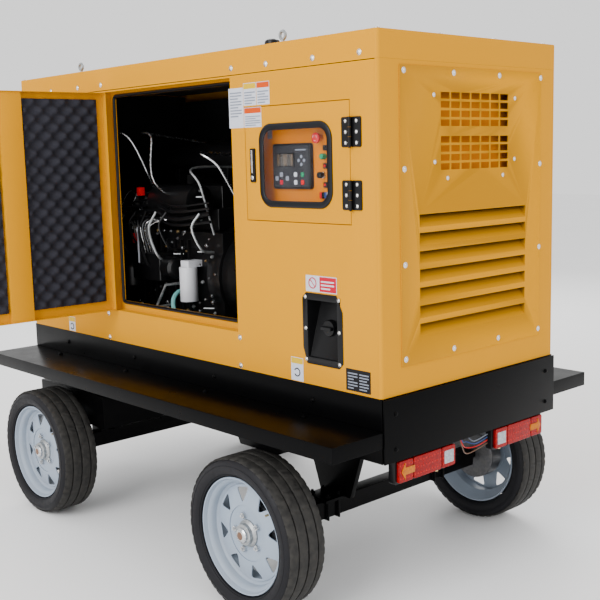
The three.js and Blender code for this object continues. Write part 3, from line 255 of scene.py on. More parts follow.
def screenPane():
    made = Finish("screenPane", Coat_Weight=0.8, Coat_Roughness=0.04)
    across = made.node("SeparateXYZ", {}, {0: made.place}, "X")
    stripe = made.node("Math", {"operation": "PINGPONG"}, {0: across, 1: 0.021}) * 47.0
    made.feed("Base Color", made.mix(stripe, solid(0.012, 0.011, 0.01), solid(0.085, 0.055, 0.03)))
    made.feed("Roughness", 0.2 + made.noise(30.0) * 0.1)
    return made


roadDust = {"fade": 0.55, "low": 0.3, "high": 0.85, "most": 0.05, "colour": solid(0.05, 0.04, 0.03)}
yellow = paint("canopyYellow", (0.60, 0.255, 0.0), 0.4, cloud=0.03, gloss=0.03)
# a darker copy of the canopy yellow: painted shade for the sheets behind the vents and for the control
# recess
yellowPaintedShade = paint("canopyYellowInner", (0.60, 0.18, 0.0), 0.5, cloud=0.08, gloss=0.04)
black = paint("chassisBlack", (0.0012, 0.0012, 0.0014), 0.3, peel=0.00009, cloud=0.2, dust=roadDust,
              gloss=0.05)
engineBlack = paint("engineBlack", (0.003, 0.003, 0.0033), 0.3, peel=0.0003, cloud=0.35, gloss=0.35)
liningBlack = moulded("liningBlack", (0.004, 0.004, 0.0045), 0.9, grain=0.0012, scale=160.0)
plastic = moulded("blackPlastic", (0.0035, 0.0035, 0.004), 0.32, Specular_IOR_Level=0.2)
plasticGrey = moulded("greyPlastic", (0.016, 0.017, 0.021), 0.4, Specular_IOR_Level=0.25)
sealRubber = moulded("sealRubber", (0.0035, 0.004, 0.006), 0.34, scale=500.0, Specular_IOR_Level=0.22)
rimWhite = paint("rimWhite", (0.27, 0.325, 0.40), 0.34, cloud=0.05, gloss=0.25,
                 dust={"fade": 0.6, "low": 0.2, "high": 0.8, "most": 0.18,
                       "colour": solid(0.33, 0.28, 0.22)})
zinc = zincPlate("brightZinc", (0.6, 0.61, 0.62), 0.16, 180.0)
galvanised = zincPlate("galvanised", (0.34, 0.355, 0.36), 0.4, 130.0, metal=0.75)
steel = zincPlate("brightSteel", (0.72, 0.71, 0.69), 0.1, 600.0, spread=0.08)
brass = zincPlate("yellowZinc", (0.62, 0.47, 0.25), 0.24, 240.0)
iron = zincPlate("drumIron", (0.11, 0.11, 0.115), 0.42, 90.0, metal=0.6)
foam = foamFinish()
tyre = tyreRubber()
tread = treadRubber()
lampRed = lampLens("lampRed", solid(0.34, 0.0, 0.001), solid(0.14, 0.0, 0.0))
lampBright = lampLens("lampBright", solid(0.55, 0.01, 0.004), solid(0.36, 0.0, 0.0))
lampAmber = lampLens("lampAmber", solid(0.55, 0.17, 0.0), solid(0.36, 0.08, 0.0))
lampClear = lampLens("lampClear", solid(0.5, 0.52, 0.54), solid(0.28, 0.3, 0.33))
redGloss = moulded("redGloss", (0.55, 0.0, 0.003), 0.2, grain=0.00005, Specular_IOR_Level=0.3)
greenGloss = moulded("greenGloss", (0.0, 0.22, 0.09), 0.2, grain=0.00005, Specular_IOR_Level=0.3)
whitePaint = paint("filterWhite", (0.6, 0.61, 0.64), 0.3)
teal = moulded("hoseTeal", (0.2, 0.56, 0.54), 0.3, scale=300.0)
pane = clearPane()
screen = screenPane()
labelWhite = labelPrint("labelWhite", (0.52, 0.54, 0.6))
labelRed = labelPrint("labelRed", (0.45, 0.0, 0.02))
labelOrange = labelPrint("labelOrange", (0.55, 0.06, 0.0))
labelYellow = labelPrint("labelYellow", (0.6, 0.38, 0.0))
labelGrey = labelPrint("labelGrey", (0.2, 0.22, 0.27))
labelDark = labelPrint("labelDark", (0.004, 0.004, 0.005))
wireBrown = moulded("wireBrown", (0.13, 0.06, 0.03), 0.4)
wireBlue = moulded("wireBlue", (0.02, 0.05, 0.2), 0.4)
keyGrey = moulded("keyGrey", (0.2, 0.22, 0.27), 0.4)
print("finishes made")


def arc(centre, radius, start, end, steps):  # points on an arc in two dimensions, angles in degrees
    turns = [math.radians(start + (end - start) * i / steps) for i in range(steps + 1)]
    return [(centre[0] + radius * math.cos(a), centre[1] + radius * math.sin(a)) for a in turns]


def roundedOutline(width, height, corner, steps=5):
    u, v = width / 2 - corner, height / 2 - corner
    return (arc((u, -v), corner, -90, 0, steps) + arc((u, v), corner, 0, 90, steps)
            + arc((-u, v), corner, 90, 180, steps) + arc((-u, -v), corner, 180, 270, steps))


def smoothPath(points, steps=6):  # a Catmull-Rom curve through the points
    points = [Vector(p) for p in points]
    ends = [2 * points[0] - points[1], *points, 2 * points[-1] - points[-2]]
    path = []
    for a, b, c, d in zip(ends, ends[1:], ends[2:], ends[3:]):
        for i in range(steps):
            t = i / steps
            path.append(0.5 * (2 * b + (c - a) * t + (2 * a - 5 * b + 4 * c - d) * t * t
                               + (3 * b - 3 * c + d - a) * t ** 3))
    return path + [points[-1]]


class Piece:  # gathers shapes in one mesh, in the machine's own frame
    def __init__(self, name, place=None):
        self.name = name
        self.place = place or Matrix.Identity(4)
        self.mesh = bmesh.new()
        self.finishes = []

    def take(self, part, finish, edge=0.0, steps=2, flat=False):
        bmesh.ops.recalc_face_normals(part, faces=part.faces)
        if edge:
            sharp = [e for e in part.edges if e.is_manifold and e.calc_face_angle(0.0) > 0.45]
            bmesh.ops.bevel(part, geom=sharp, offset=edge, offset_type="OFFSET", segments=steps,
                            profile=0.6,
                            affect="EDGES", clamp_overlap=True)
        if finish not in self.finishes:
            self.finishes.append(finish)
        for face in part.faces:
            face.material_index = self.finishes.index(finish)
            face.smooth = not flat
        scratch = bpy.data.meshes.new("scratch")
        part.to_mesh(scratch)
        part.free()
        self.mesh.from_mesh(scratch)
        bpy.data.meshes.remove(scratch)
        return self

    # a CAD node's own shape, with its flat faces whole, its edges eased and its folds rounded
    def node(self, name, finish, edge=0.001, steps=2, shift=None, folds=()):
        part = bmesh.new()
        part.from_mesh(frame["nodes"][name].data)
        bmesh.ops.remove_doubles(part, verts=part.verts, dist=1e-5)
        bmesh.ops.dissolve_limit(part, angle_limit=0.01, verts=part.verts, edges=part.edges)
        for vert in part.verts:
            if shift:
                vert.co = shift(vert.co)
        for test, radius in folds:
            chosen = [e for e in part.edges if e.is_manifold and test(*(v.co for v in e.verts))]
            bmesh.ops.bevel(part, geom=chosen, offset=radius, segments=4, profile=0.5, affect="EDGES",
                            clamp_overlap=True)
        return self.take(part, finish, edge, steps)

    def box(self, low, high, finish, edge=0.0, steps=2):
        part = bmesh.new()
        bmesh.ops.create_cube(part, size=1.0)
        for vert in part.verts:
            vert.co = [(a + b) / 2 + c * (b - a) for a, b, c in zip(low, high, vert.co)]
        return self.take(part, finish, edge, steps)

    def lathe(self, profile, centre, axis, finish, sides=32, edge=0.0, wave=None, flat=False):
        part = bmesh.new()
        axis = Vector(axis).normalized()
        across = axis.orthogonal().normalized()
        up = axis.cross(across)
        rings = []
        for index, (radius, along) in enumerate(profile):
            middle = Vector(centre) + axis * along
            if radius < 1e-6:
                rings.append([part.verts.new(middle)])
                continue
            ring = []
            for i in range(sides):
                turn = 2 * math.pi * i / sides
                reach = radius + (wave(index, i) if wave else 0.0)
                ring.append(part.verts.new(middle
                                           + (across * math.cos(turn) + up * math.sin(turn)) * reach))
            rings.append(ring)
        if profile[0] == profile[-1]:
            bmesh.ops.delete(part, geom=rings[-1], context="VERTS")
            rings[-1] = rings[0]
        for lower, upper in zip(rings, rings[1:]):
            for i in range(sides):
                j = i + 1
                four = [lower[i % len(lower)], lower[j % len(lower)], upper[j % len(upper)],
                        upper[i % len(upper)]]
                corners = list(dict.fromkeys(four))
                if len(corners) > 2:
                    part.faces.new(corners)
        return self.take(part, finish, edge, flat=flat)

    def rod(self, start, end, radius, finish, sides=20, edge=0.0, endRadius=None):
        length = (Vector(end) - Vector(start)).length
        last = radius if endRadius is None else endRadius
        profile = [(0, 0), (radius, 0), (last, length), (0, length)]
        if edge:
            profile = [(0, 0), (radius - edge, 0), (radius, edge), (last, length - edge),
                       (last - edge, length),
                       (0, length)]
        return self.lathe(profile, start, Vector(end) - Vector(start), finish, sides)

    # a domed screw head on its washer
    def dome(self, centre, axis, radius, finish, washer=1.3, rise=0.55, sides=14):
        lift = radius * 0.16
        profile = [(0, 0), (radius * washer, 0), (radius * washer, lift)]
        profile += [(radius * math.cos(a), lift + radius * rise * math.sin(a)) for a in (0, 0.4, 0.8, 1.2)]
        return self.lathe(profile + [(0, lift + radius * rise)], centre, axis, finish, sides)

    def hexNut(self, centre, axis, radius, depth, finish):
        profile = [(0, 0), (radius, 0), (radius, depth * 0.85), (radius * 0.9, depth),
                   (radius * 0.5, depth)]
        return self.lathe(profile + [(radius * 0.45, depth * 1.5), (0, depth * 1.5)], centre, axis, finish,
                          6, flat=True)

    def sweep(self, points, radius, finish, sides=10, closed=False, section=None, up=None):
        part = bmesh.new()
        points = [Vector(p) for p in points]
        count = len(points)
        outline = section or arc((0, 0), radius, 0, 360 - 360 / sides, sides - 1)
        rings = []
        side = None
        for i, point in enumerate(points):
            before = points[(i - 1) % count] if closed or i else point
            after = points[(i + 1) % count] if closed or i < count - 1 else point
            heading = (after - before).normalized()
            if up is not None:
                normal = Vector(up)
                side = heading.cross(normal).normalized()
            else:
                side = heading.orthogonal() if side is None else side - heading * side.dot(heading)
                side.normalize()
                normal = side.cross(heading)
            rings.append([part.verts.new(point + side * u + normal * v) for u, v in outline])
        pairs = list(zip(rings, rings[1:])) + ([(rings[-1], rings[0])] if closed else [])
        for lower, upper in pairs:
            for k in range(len(outline)):
                m = (k + 1) % len(outline)
                part.faces.new([lower[k], lower[m], upper[m], upper[k]])
        if not closed:
            part.faces.new(rings[0])
            part.faces.new(rings[-1])
        return self.take(part, finish)

    def plate(self, outline, origin, across, up, depth, finish, edge=0.0, steps=2):
        part = bmesh.new()
        across, up = Vector(across), Vector(up)
        through = across.cross(up).normalized() * depth
        near = [part.verts.new(Vector(origin) + across * u + up * v) for u, v in outline]
        far = [part.verts.new(vert.co + through) for vert in near]
        part.faces.new(near)
        part.faces.new(far)
        for i in range(len(near)):
            j = (i + 1) % len(near)
            part.faces.new([near[i], near[j], far[j], far[i]])
        return self.take(part, finish, edge, steps)

    # a flat sheet with holes in it, dished where lift is given
    def pierced(self, outline, holes, origin, across, up, depth, finish, lift=None, edge=0.0):
        part = bmesh.new()
        across, up = Vector(across), Vector(up)
        through = across.cross(up).normalized()
        for loop in [outline, *holes]:
            ring = [part.verts.new((u, v, 0)) for u, v in loop]
            for i in range(len(ring)):
                part.edges.new((ring[i], ring[(i + 1) % len(ring)]))
        bmesh.ops.triangle_fill(part, use_beauty=True, use_dissolve=False, edges=part.edges[:])
        part.normal_update()
        bmesh.ops.solidify(part, geom=part.faces[:], thickness=depth)
        for vert in part.verts:
            u, v, w = vert.co
            out = w + (lift(math.hypot(u, v)) if lift else 0.0)
            vert.co = Vector(origin) + across * u + up * v + through * out
        return self.take(part, finish, edge, 2)

    def done(self, body="trailer", slot=None, replaces=(), sharp=32.0):
        shape = bpy.data.meshes.new(self.name)
        bmesh.ops.transform(self.mesh, matrix=self.place, verts=self.mesh.verts)
        if self.place.determinant() < 0:
            bmesh.ops.reverse_faces(self.mesh, faces=self.mesh.faces)
        self.mesh.to_mesh(shape)
        self.mesh.free()
        for finish in self.finishes:
            shape.materials.append(finish.material)
        shape.set_sharp_from_angle(angle=math.radians(sharp))
        thing = bpy.data.objects.new(self.name, shape)
        bpy.context.scene.collection.objects.link(thing)
        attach(thing, body)
        if replaces:
            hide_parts(*replaces)
        return thing


toNear = Vector((0, -1, 0))
toRear = Vector((1, 0, 0))
toTop = Vector((0, 0, 1))
toFar = Vector((0, 1, 0))

view = {"offset": (2.281, -2.464, 0.850), "aim": (-0.72942, 0.66844, -0.14536), "roll": -1.415,
        "lens": 59.3}
camera = bpy.data.objects.new("camera", bpy.data.cameras.new("camera"))
bpy.context.scene.collection.objects.link(camera)
camera.data.lens = view["lens"]
camera.data.sensor_width = 36
camera.location = Vector((rearX, nearY, sillZ)) + Vector(view["offset"])
aim = Vector(view["aim"]).to_track_quat("-Z", "Y").to_matrix()
camera.rotation_euler = (aim @ Matrix.Rotation(math.radians(view["roll"]), 3, "Z")).to_euler()
bpy.context.scene.camera = camera

lights = [
    {"name": "key", "at": (1.8, -7.0, 5.0), "size": 5.0, "power": 600},
    {"name": "endFill", "at": (8.5, 1.5, 4.5), "size": 5.0, "power": 170},
    {"name": "low", "at": (2.2, -5.0, 0.7), "size": 3.0, "power": 45},
    {"name": "back", "at": (-4.0, 6.0, 5.0), "size": 4.0, "power": 280},
]
for entry in lights:
    lamp = bpy.data.lights.new(entry["name"], "AREA")
    lamp.size = entry["size"]
    lamp.energy = entry["power"]
    holder = bpy.data.objects.new(entry["name"], lamp)
    holder.location = entry["at"]
    holder.rotation_euler = (Vector((0.3, midY, 1.1)) - holder.location).to_track_quat("-Z", "Y").to_euler()
    bpy.context.scene.collection.objects.link(holder)

sky = bpy.data.worlds.new("studio")
sky.use_nodes = True
sky.node_tree.nodes["Background"].inputs["Color"].default_value = solid(1, 1, 1)
sky.node_tree.nodes["Background"].inputs["Strength"].default_value = 1.3
bpy.context.scene.world = sky

floorFinish = Finish("studioFloor", Specular_IOR_Level=0.1)
floorFinish.feed("Base Color",
                 floorFinish.mix(floorFinish.noise(0.6), solid(0.93, 0.93, 0.93), solid(0.96, 0.96, 0.96)))
floorFinish.feed("Roughness", 0.8 + floorFinish.noise(3.0) * 0.15)
floorMesh = bpy.data.meshes.new("floor")
floorMesh.from_pydata([(-30, -30, -0.001), (30, -30, -0.001), (30, 30, -0.001), (-30, 30, -0.001)], [],
                      [(0, 1, 2, 3)])
floorMesh.materials.append(floorFinish.material)
floor = bpy.data.objects.new("floor", floorMesh)
bpy.context.scene.collection.objects.link(floor)

canopy = {"bend": 0.013, "sheet": 0.0025, "topBend": 0.005, "screw": 0.0085, "gap": 0.0004}


# an end sheet folds round both corners and has one opening behind its vents
def endSheet(name, face, outward, openY, openZ):
    bend = canopy["bend"]
    inner = face - outward * bend
    near = [(inner + outward * bend * math.sin(a), nearY + bend - bend * math.cos(a))
            for a in (math.radians(15 * i) for i in range(7))]
    plan = near + [(face, openY[0]), (face, openY[1])] + [(x, nearY + farY - y) for x, y in reversed(near)]
    rows = [sillZ + canopy["gap"], openZ[0], openZ[1], roofLow.z - canopy["gap"]]
    part = bmesh.new()
    grid = [[part.verts.new((x, y, z)) for x, y in plan] for z in rows]
    for r in range(3):
        for c in range(len(plan) - 1):
            if r == 1 and c == 7:
                continue
            corners = [grid[r][c], grid[r][c + 1], grid[r + 1][c + 1], grid[r + 1][c]]
            part.faces.new(corners if outward > 0 else corners[::-1])
    part.normal_update()
    bmesh.ops.solidify(part, geom=part.faces, thickness=canopy["sheet"])
    return Piece(name).take(part, yellow)


ventLow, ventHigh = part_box("rear_vent_panel")
ventLap = 0.02
rearSheet = endSheet("rear_end_sheet", rearX, 1,
                     (ventLow.y + ventLap, ventHigh.y - ventLap),
                     (ventLow.z + ventLap, ventHigh.z - ventLap))
rearSheet.done(slot="canopy_yellow", replaces=["rear_end_shell"])

frontVent = {"halfWidth": 0.38, "low": 0.18, "tall": 0.82, "bars": 9, "bar": 0.014}
frontLow = sillZ + frontVent["low"]
frontSheet = endSheet("front_end_sheet", frontX, -1,
                      (midY - frontVent["halfWidth"], midY + frontVent["halfWidth"]),
                      (frontLow, frontLow + frontVent["tall"]))
for i in range(1, frontVent["bars"]):  # flat bars across the radiator opening
    z = frontLow + i * frontVent["tall"] / frontVent["bars"]
    frontSheet.box((frontX, midY - frontVent["halfWidth"], z - frontVent["bar"] / 2),
                   (frontX + 0.003, midY + frontVent["halfWidth"], z + frontVent["bar"] / 2), yellow,
                   0.0008)
for i in range(25):  # the wire guard behind them
    y = midY + frontVent["halfWidth"] * (i / 12 - 1)
    frontSheet.rod((frontX + 0.008, y, frontLow - 0.01),
                   (frontX + 0.008, y, frontLow + frontVent["tall"] + 0.01),
                   0.002, black, 6)
frontSheet.done(slot="canopy_yellow", replaces=["front_end_shell"])


def roofShell():
    part = bmesh.new()
    bmesh.ops.create_cube(part, size=1.0)
    for vert in part.verts:
        vert.co = [(a + b) / 2 + c * (b - a) for a, b, c in zip(roofLow, roofHigh, vert.co)]
    under = [f for f in part.faces if f.normal.z < -0.5]
    bmesh.ops.delete(part, geom=under, context="FACES_ONLY")
    upright = [e for e in part.edges if abs(e.verts[0].co.z - e.verts[1].co.z) > 0.01]
    bmesh.ops.bevel(part, geom=upright, offset=canopy["bend"], segments=6, profile=0.5, affect="EDGES")
    rim = [e for e in part.edges if e.is_manifold and min(v.co.z for v in e.verts) > roofHigh.z - 1e-4]
    bmesh.ops.bevel(part, geom=rim, offset=canopy["topBend"], segments=3, profile=0.5, affect="EDGES")
    bmesh.ops.recalc_face_normals(part, faces=part.faces)
    top = max(part.faces, key=lambda f: f.calc_center_median().z)
    if top.normal.z < 0:
        bmesh.ops.reverse_faces(part, faces=part.faces)
    bmesh.ops.solidify(part, geom=part.faces, thickness=canopy["sheet"])
    return Piece("roof_cover").take(part, yellow)


roofCover = roofShell()
breather = onSide(0.58, roofHigh.z - sillZ)
breather.y += 0.05
roofCover.lathe([(0, 0), (0.03, 0), (0.03, 0.008), (0.027, 0.016), (0.018, 0.021), (0, 0.0225)], breather,
                toTop, plastic)
for across in (0.017, 0.343, 0.663, 0.986):
    for x in (rearX - 0.016, frontX + 0.016):
        roofCover.dome((x, nearY + across, roofHigh.z), toTop, canopy["screw"], steel)
roofCover.done(slot="canopy_yellow", replaces=["roof"])


# side skins stop where the end sheets' folds begin
def sideSkin(name, node, outward):
    reach = canopy["bend"] + canopy["gap"]

    def pulled(at):
        if at.x > rearX - reach:
            at.x = rearX - reach
        if at.x < frontX + reach:
            at.x = frontX + reach
        return at

    piece = Piece(name).node(node, yellow, 0.0009, shift=pulled)
    face = nearY if outward < 0 else farY
    axis = (0, outward, 0)
    skirt = [0.083, 0.312, 0.565, 0.770]
    length = rearX - frontX
    for fromRear in skirt + [length - s for s in skirt]:
        piece.dome((rearX - fromRear, face, sillZ + 1.187), axis, canopy["screw"], steel)
    for fromRear, up in [(0.770, 0.129), (0.770, 0.014), (1.752, 0.129), (1.752, 0.014)]:
        piece.dome((rearX - fromRear, face, sillZ + up), axis, canopy["screw"], steel)
    return piece


nearSkin = sideSkin("near_side_skin", "near_side_panel", -1)
nearSkin.done(slot="canopy_yellow", replaces=["near_side_panel"])
farSkin = sideSkin("far_side_skin", "far_side_panel", 1)
farSkin.done(slot="canopy_yellow", replaces=["far_side_panel"])

# rear vent panel: the blades roll out of the sheet, so their lower folds are rounded
louvres = {"pitch": 0.065, "low": 0.196, "fold": 0.004}


def louvreFold(a, b):
    if abs(a.x - b.x) > 1e-4 or abs(a.z - b.z) > 1e-4 or abs(a.y - b.y) < 0.5 or a.x < ventHigh.x - 1e-4:
        return False
    above = (a.z - sillZ - louvres["low"]) % louvres["pitch"]
    return above < 0.004


ventPanel = Piece("rear_vent_cover").node("rear_vent_panel", yellow, 0.0006,
                                          folds=[(louvreFold, louvres["fold"])])
for across, up, size in (
    [(a, u, 1.0) for a in (0.125, 0.395, 0.668, 0.938) for u in (1.126, 0.124)]
    + [(a, u, 1.0) for a in (0.125, 0.938) for u in (0.792, 0.460)]
    + [(0.284, 1.047, 0.75), (0.767, 1.044, 0.75), (0.288, 0.813, 0.75), (0.766, 0.814, 0.75),
       (0.360, 0.754, 0.75),
       (0.692, 0.755, 0.75)]
):
    ventPanel.dome(onEnd(across, up, ventHigh.x - rearX), toRear, canopy["screw"] * size, steel)
ventPanel.done(slot="canopy_yellow", replaces=["rear_vent_panel"])

# sheets behind the grilles and louvres throw the air down and hide the bay
baffle = Piece("vent_baffle")
# the baffle sheets take the darker yellow, which is painted shade behind the grilles and louvres
for low in (0.785, 0.938):
    baffle.plate([(0.27, 0), (0.86, 0), (0.86, 0.15), (0.27, 0.15)],
                 (rearX - 0.024, nearY, sillZ + low - 0.012),
                 (0, 1, 0), (-0.22, 0, 0.975), -0.002, yellowPaintedShade, 0.0005)
baffle.box((rearX - 0.12, nearY + 0.12, sillZ + 0.001), (rearX - 0.11, nearY + 0.93, sillZ + 0.74),
           liningBlack, 0.002)
baffle.done(slot="canopy_yellow")

# acoustic lining boards inside the canopy; the far one runs behind the far doorway too
lining = Piece("acoustic_lining")
thick = 0.02
inside = 0.06
lining.box((frontX + 0.055, farY - inside - thick, sillZ + 0.01), (rearX - 0.1, farY - inside, roofLow.z),
           liningBlack, 0.004)
lining.box((frontX + 0.06, nearY + 0.07, roofLow.z + 0.04), (rearX - 0.06, farY - 0.07, roofLow.z + 0.06),
           liningBlack,
           0.004)
lining.box((rearX - 0.6, nearY + 0.09, sillZ + 0.01), (rearX - 0.58, farY - 0.09, roofLow.z), liningBlack,
           0.004)
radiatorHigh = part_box("radiator")[1]
lining.box((frontX + 0.055, nearY + 0.06, radiatorHigh.z - 0.02),
           (frontX + 0.075, farY - 0.06, roofLow.z + 0.03), liningBlack,
           0.004)
lining.box((frontX + 0.07, nearY + 0.055, sillZ + 0.01),
           (joints["near_door_swing"]["pos_m"][0] - 0.05, nearY + 0.075, roofLow.z),
           liningBlack, 0.004)
lining.done(slot="foam")
print("canopy made")

door = {"width": 0.925, "open": -92.0, "margin": 0.043, "stile": 0.120, "inset": 0.006, "skin": 0.0033,
        "pitch": 0.037, "swell": 0.0235, "grid": 0.0046, "foam": 0.0268}


def doorFrame(side):
    at = pivot("near_door_swing" if side < 0 else "far_door_swing")
    move = Matrix.Translation((at.x, at.y, 0))
    if side < 0:
        return move @ Matrix.Rotation(math.radians(door["open"]), 4, "Z")
    return move @ Matrix.Scale(-1, 4, (0, 1, 0))


# a foam pad with an egg-crate face: rounded peaks in a chequered pattern
def foamPad(name, place, start, end, low, high):
    columns = max(2, round((end - start) / door["grid"]))
    rows = max(2, round((high - low) / door["grid"]))
    back = door["inset"] + door["skin"]
    part = bmesh.new()
    grid = []
    for r in range(rows + 1):
        line = []
        for c in range(columns + 1):
            x = start + (end - start) * c / columns
            z = low + (high - low) * r / rows
            wave = math.sin(math.pi * (x - start) / door["pitch"])
            wave *= math.sin(math.pi * (z - low) / door["pitch"])
            peak = 0.5 + 0.5 * wave
            depth = door["foam"] - door["swell"] * (1 - peak ** 1.4)
            line.append(part.verts.new((x, back + depth, z)))
        grid.append(line)
    for r in range(rows):
        for c in range(columns):
            part.faces.new([grid[r][c], grid[r][c + 1], grid[r + 1][c + 1], grid[r + 1][c]])
    border = [grid[0][c] for c in range(columns + 1)] + [grid[r][columns] for r in range(1, rows + 1)]
    border += [grid[rows][c] for c in range(columns - 1, -1, -1)] + [grid[r][0]
                                                                     for r in range(rows - 1, 0, -1)]
    base = [part.verts.new((v.co.x, back, v.co.z)) for v in border]
    for i in range(len(border)):
        j = (i + 1) % len(border)
        part.faces.new([border[i], border[j], base[j], base[i]])
    part.faces.new(base)
    return Piece(name, place).take(part, foam)


def hangDoor(prefix, side, body):
    place = doorFrame(side)
    low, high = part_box(prefix + "_door")
    leaf = Piece(prefix + "_door_leaf").node(prefix + "_door", yellow, 0.0012)
    leaf.done(body, slot="canopy_yellow", replaces=[prefix + "_door"])
    fittings = Piece(prefix + "_door_fittings", place)
    out = door["inset"]
    for z in (low.z + 0.145, (low.z + high.z) / 2, high.z - 0.145):  # hinge leaves and their screws
        fittings.box((0.004, out - 0.0035, z - 0.05), (0.036, out - 0.0002, z + 0.05), yellow, 0.001)
        for step in (-0.034, 0, 0.034):
            fittings.dome((0.024, out - 0.0035, z + step), (0, -1, 0), 0.0045, steel)
    fittings.done(body, slot="canopy_yellow")
    latchLow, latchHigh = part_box(prefix + "_door_latch")
    paddleX = door["width"] - 0.062
    paddle = Piece(prefix + "_door_paddle", place)
    paddle.box((paddleX, out - 0.008, latchLow.z), (paddleX + 0.03, out - 0.0004, latchHigh.z), plastic,
               0.003, 3)
    paddle.box((paddleX + 0.008, out - 0.0105, latchLow.z + 0.03),
               (paddleX + 0.022, out - 0.006, latchHigh.z - 0.012),
               zinc, 0.002, 3)
    paddle.lathe([(0, 0), (0.007, 0), (0.007, 0.003), (0, 0.0035)],
                 (paddleX + 0.015, out - 0.008, latchLow.z + 0.016),
                 (0, -1, 0), zinc, 20)
    paddle.done(prefix + "_latch", slot="black_plastic", replaces=[prefix + "_door_latch"])


hangDoor("near", -1, "near_engine_door")
hangDoor("far", 1, "far_engine_door")
foamWidth = (door["width"] - 2 * door["margin"] - door["stile"]) / 2
padLow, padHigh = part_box("near_door_foam_front")
foamPads = [
    ("near_foam_pad_front", "near_door_foam_front", -1, door["margin"], door["margin"] + foamWidth),
    ("near_foam_pad_rear", "near_door_foam_rear", -1, door["width"] - door["margin"] - foamWidth,
     door["width"] - door["margin"]),
    ("far_foam_pad", "far_door_foam", 1, door["margin"], door["width"] - door["margin"]),
]
for name, node, side, start, end in foamPads:
    pad = foamPad(name, doorFrame(side), start, end, padLow.z, padHigh.z)
    body = "near_engine_door" if side < 0 else "far_engine_door"
    pad.done(body, slot="foam", replaces=[node], sharp=80.0)

# bulb seal round the near doorway
sealLow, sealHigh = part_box("near_door_seal")
seal = Piece("near_bulb_seal")
sealMiddle = ((sealLow.x + sealHigh.x) / 2, sealHigh.y, (sealLow.z + sealHigh.z) / 2)
sealPath = [(sealMiddle[0] + u, sealMiddle[1], sealMiddle[2] + v)
            for u, v in roundedOutline(sealHigh.x - sealLow.x - 0.015, sealHigh.z - sealLow.z - 0.015, 0.02,
                                       6)]
bulb = [(-0.0075, 0.0), (0.0075, 0.0), (0.0075, 0.003)] + arc((0, 0.005), 0.0062, 0, 180,
                                                              10) + [(-0.0075, 0.003)]
seal.sweep(sealPath, 0, sealRubber, closed=True, section=bulb, up=toNear)
seal.done(slot="seal_rubber", replaces=["near_door_seal"])
print("doors made")

controls = {"hinge": [(0.655, 0.758), (0.872, 0.975)], "band": 0.025, "corner": 0.065, "bandRise": 0.007}
controlBody = "control_panel_door"
Piece("control_door_leaf").node("control_door", yellow, 0.0009).done(
    controlBody, "canopy_yellow", ["control_door"])

windowLow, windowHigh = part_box("control_window")
windowMid = Vector(((windowLow.x + windowHigh.x) / 2, nearY, (windowLow.z + windowHigh.z) / 2))
windowSize = (windowHigh.x - windowLow.x, windowHigh.z - windowLow.z)
band = Piece("window_band")
half = controls["band"] / 2
bandPath = [(windowMid.x + u, nearY, windowMid.z + v) for u, v in
            roundedOutline(windowSize[0] - 2 * half, windowSize[1] - 2 * half, controls["corner"] - half,
                           10)]
bandSection = [(-half, 0.0), (half, 0.0)] + [
    (half * math.cos(math.radians(a)), controls["bandRise"] * (0.35 + 0.65 * math.sin(math.radians(a))))
    for a in range(0, 181, 15)]
band.sweep(bandPath, 0, sealRubber, closed=True, section=bandSection, up=toNear)
band.done(controlBody, "seal_rubber", ["control_window"])
glazing = Piece("window_pane")
glazing.plate(roundedOutline(windowSize[0] - 0.03, windowSize[1] - 0.03, 0.05, 8),
              windowMid + toNear * 0.0015,
              toRear, toTop, 0.003, pane)
glazing.done(controlBody, "window")

latchLow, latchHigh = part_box("control_latch")
lever = Piece("control_lever")
lever.plate([(u + (latchLow.x + latchHigh.x) / 2, v + (latchLow.z + latchHigh.z) / 2)
             for u, v in roundedOutline(latchHigh.x - latchLow.x, latchHigh.z - latchLow.z, 0.004)],
            (0, nearY - 0.0004, 0), toRear, toTop, 0.006, plastic, 0.001)
lever.box((latchLow.x + 0.008, nearY - 0.0125, latchLow.z + 0.034),
          (latchHigh.x - 0.008, nearY - 0.0055, latchHigh.z - 0.006),
          zinc, 0.003, 3)
lever.lathe([(0, 0), (0.0085, 0), (0.0085, 0.005), (0.006, 0.007), (0, 0.007)],
            ((latchLow.x + latchHigh.x) / 2, nearY - 0.005, latchLow.z + 0.017), toNear, zinc, 24)
lever.done("control_panel_latch", "black_plastic", ["control_latch"])

hingeLeaf = {"reach": 0.045, "thick": 0.0048, "corner": 0.006, "screwOut": 0.026, "screw": 0.0062}
hingeAt = pivot("control_door_swing")
for level, (low, high) in zip(("lower", "upper"), controls["hinge"]):
    fixed = Piece(level + "_hinge_fixed")
    moving = Piece(level + "_hinge_moving")
    for piece, way in ((fixed, 1), (moving, -1)):
        middle = hingeAt.x + way * (hingeLeaf["reach"] / 2 + 0.0015)
        piece.plate([(middle + u, sillZ + (low + high) / 2 + v)
                     for u, v in roundedOutline(hingeLeaf["reach"], high - low, hingeLeaf["corner"])],
                    (0, nearY - 0.0002, 0), toRear, toTop, hingeLeaf["thick"], plastic, 0.0008)
        for share in (0.14, 0.5, 0.86):
            piece.dome((hingeAt.x + way * hingeLeaf["screwOut"], nearY - hingeLeaf["thick"],
                        sillZ + low + (high - low) * share), toNear, hingeLeaf["screw"], steel, washer=1.1)
    third = (high - low) / 3
    for piece, start, end in ((fixed, 0, third), (moving, third + 0.0005, 2 * third - 0.0005),
                              (fixed, 2 * third, 3 * third)):
        piece.rod((hingeAt.x, hingeAt.y, sillZ + low + start), (hingeAt.x, hingeAt.y, sillZ + low + end),
                  0.0072, plastic,
                  20, 0.0008)
    fixed.rod((hingeAt.x, hingeAt.y, sillZ + low - 0.003), (hingeAt.x, hingeAt.y, sillZ + low), 0.004,
              plastic)
    fixed.done(slot="black_plastic", replaces=[level + "_control_hinge"])
    moving.done(controlBody, "black_plastic")

# the recess behind the control door takes the darker yellow, which is painted shade inside the recess
Piece("control_recess").node("control_box", yellowPaintedShade, 0.0008).done(
    slot="canopy_yellow", replaces=["control_box"])

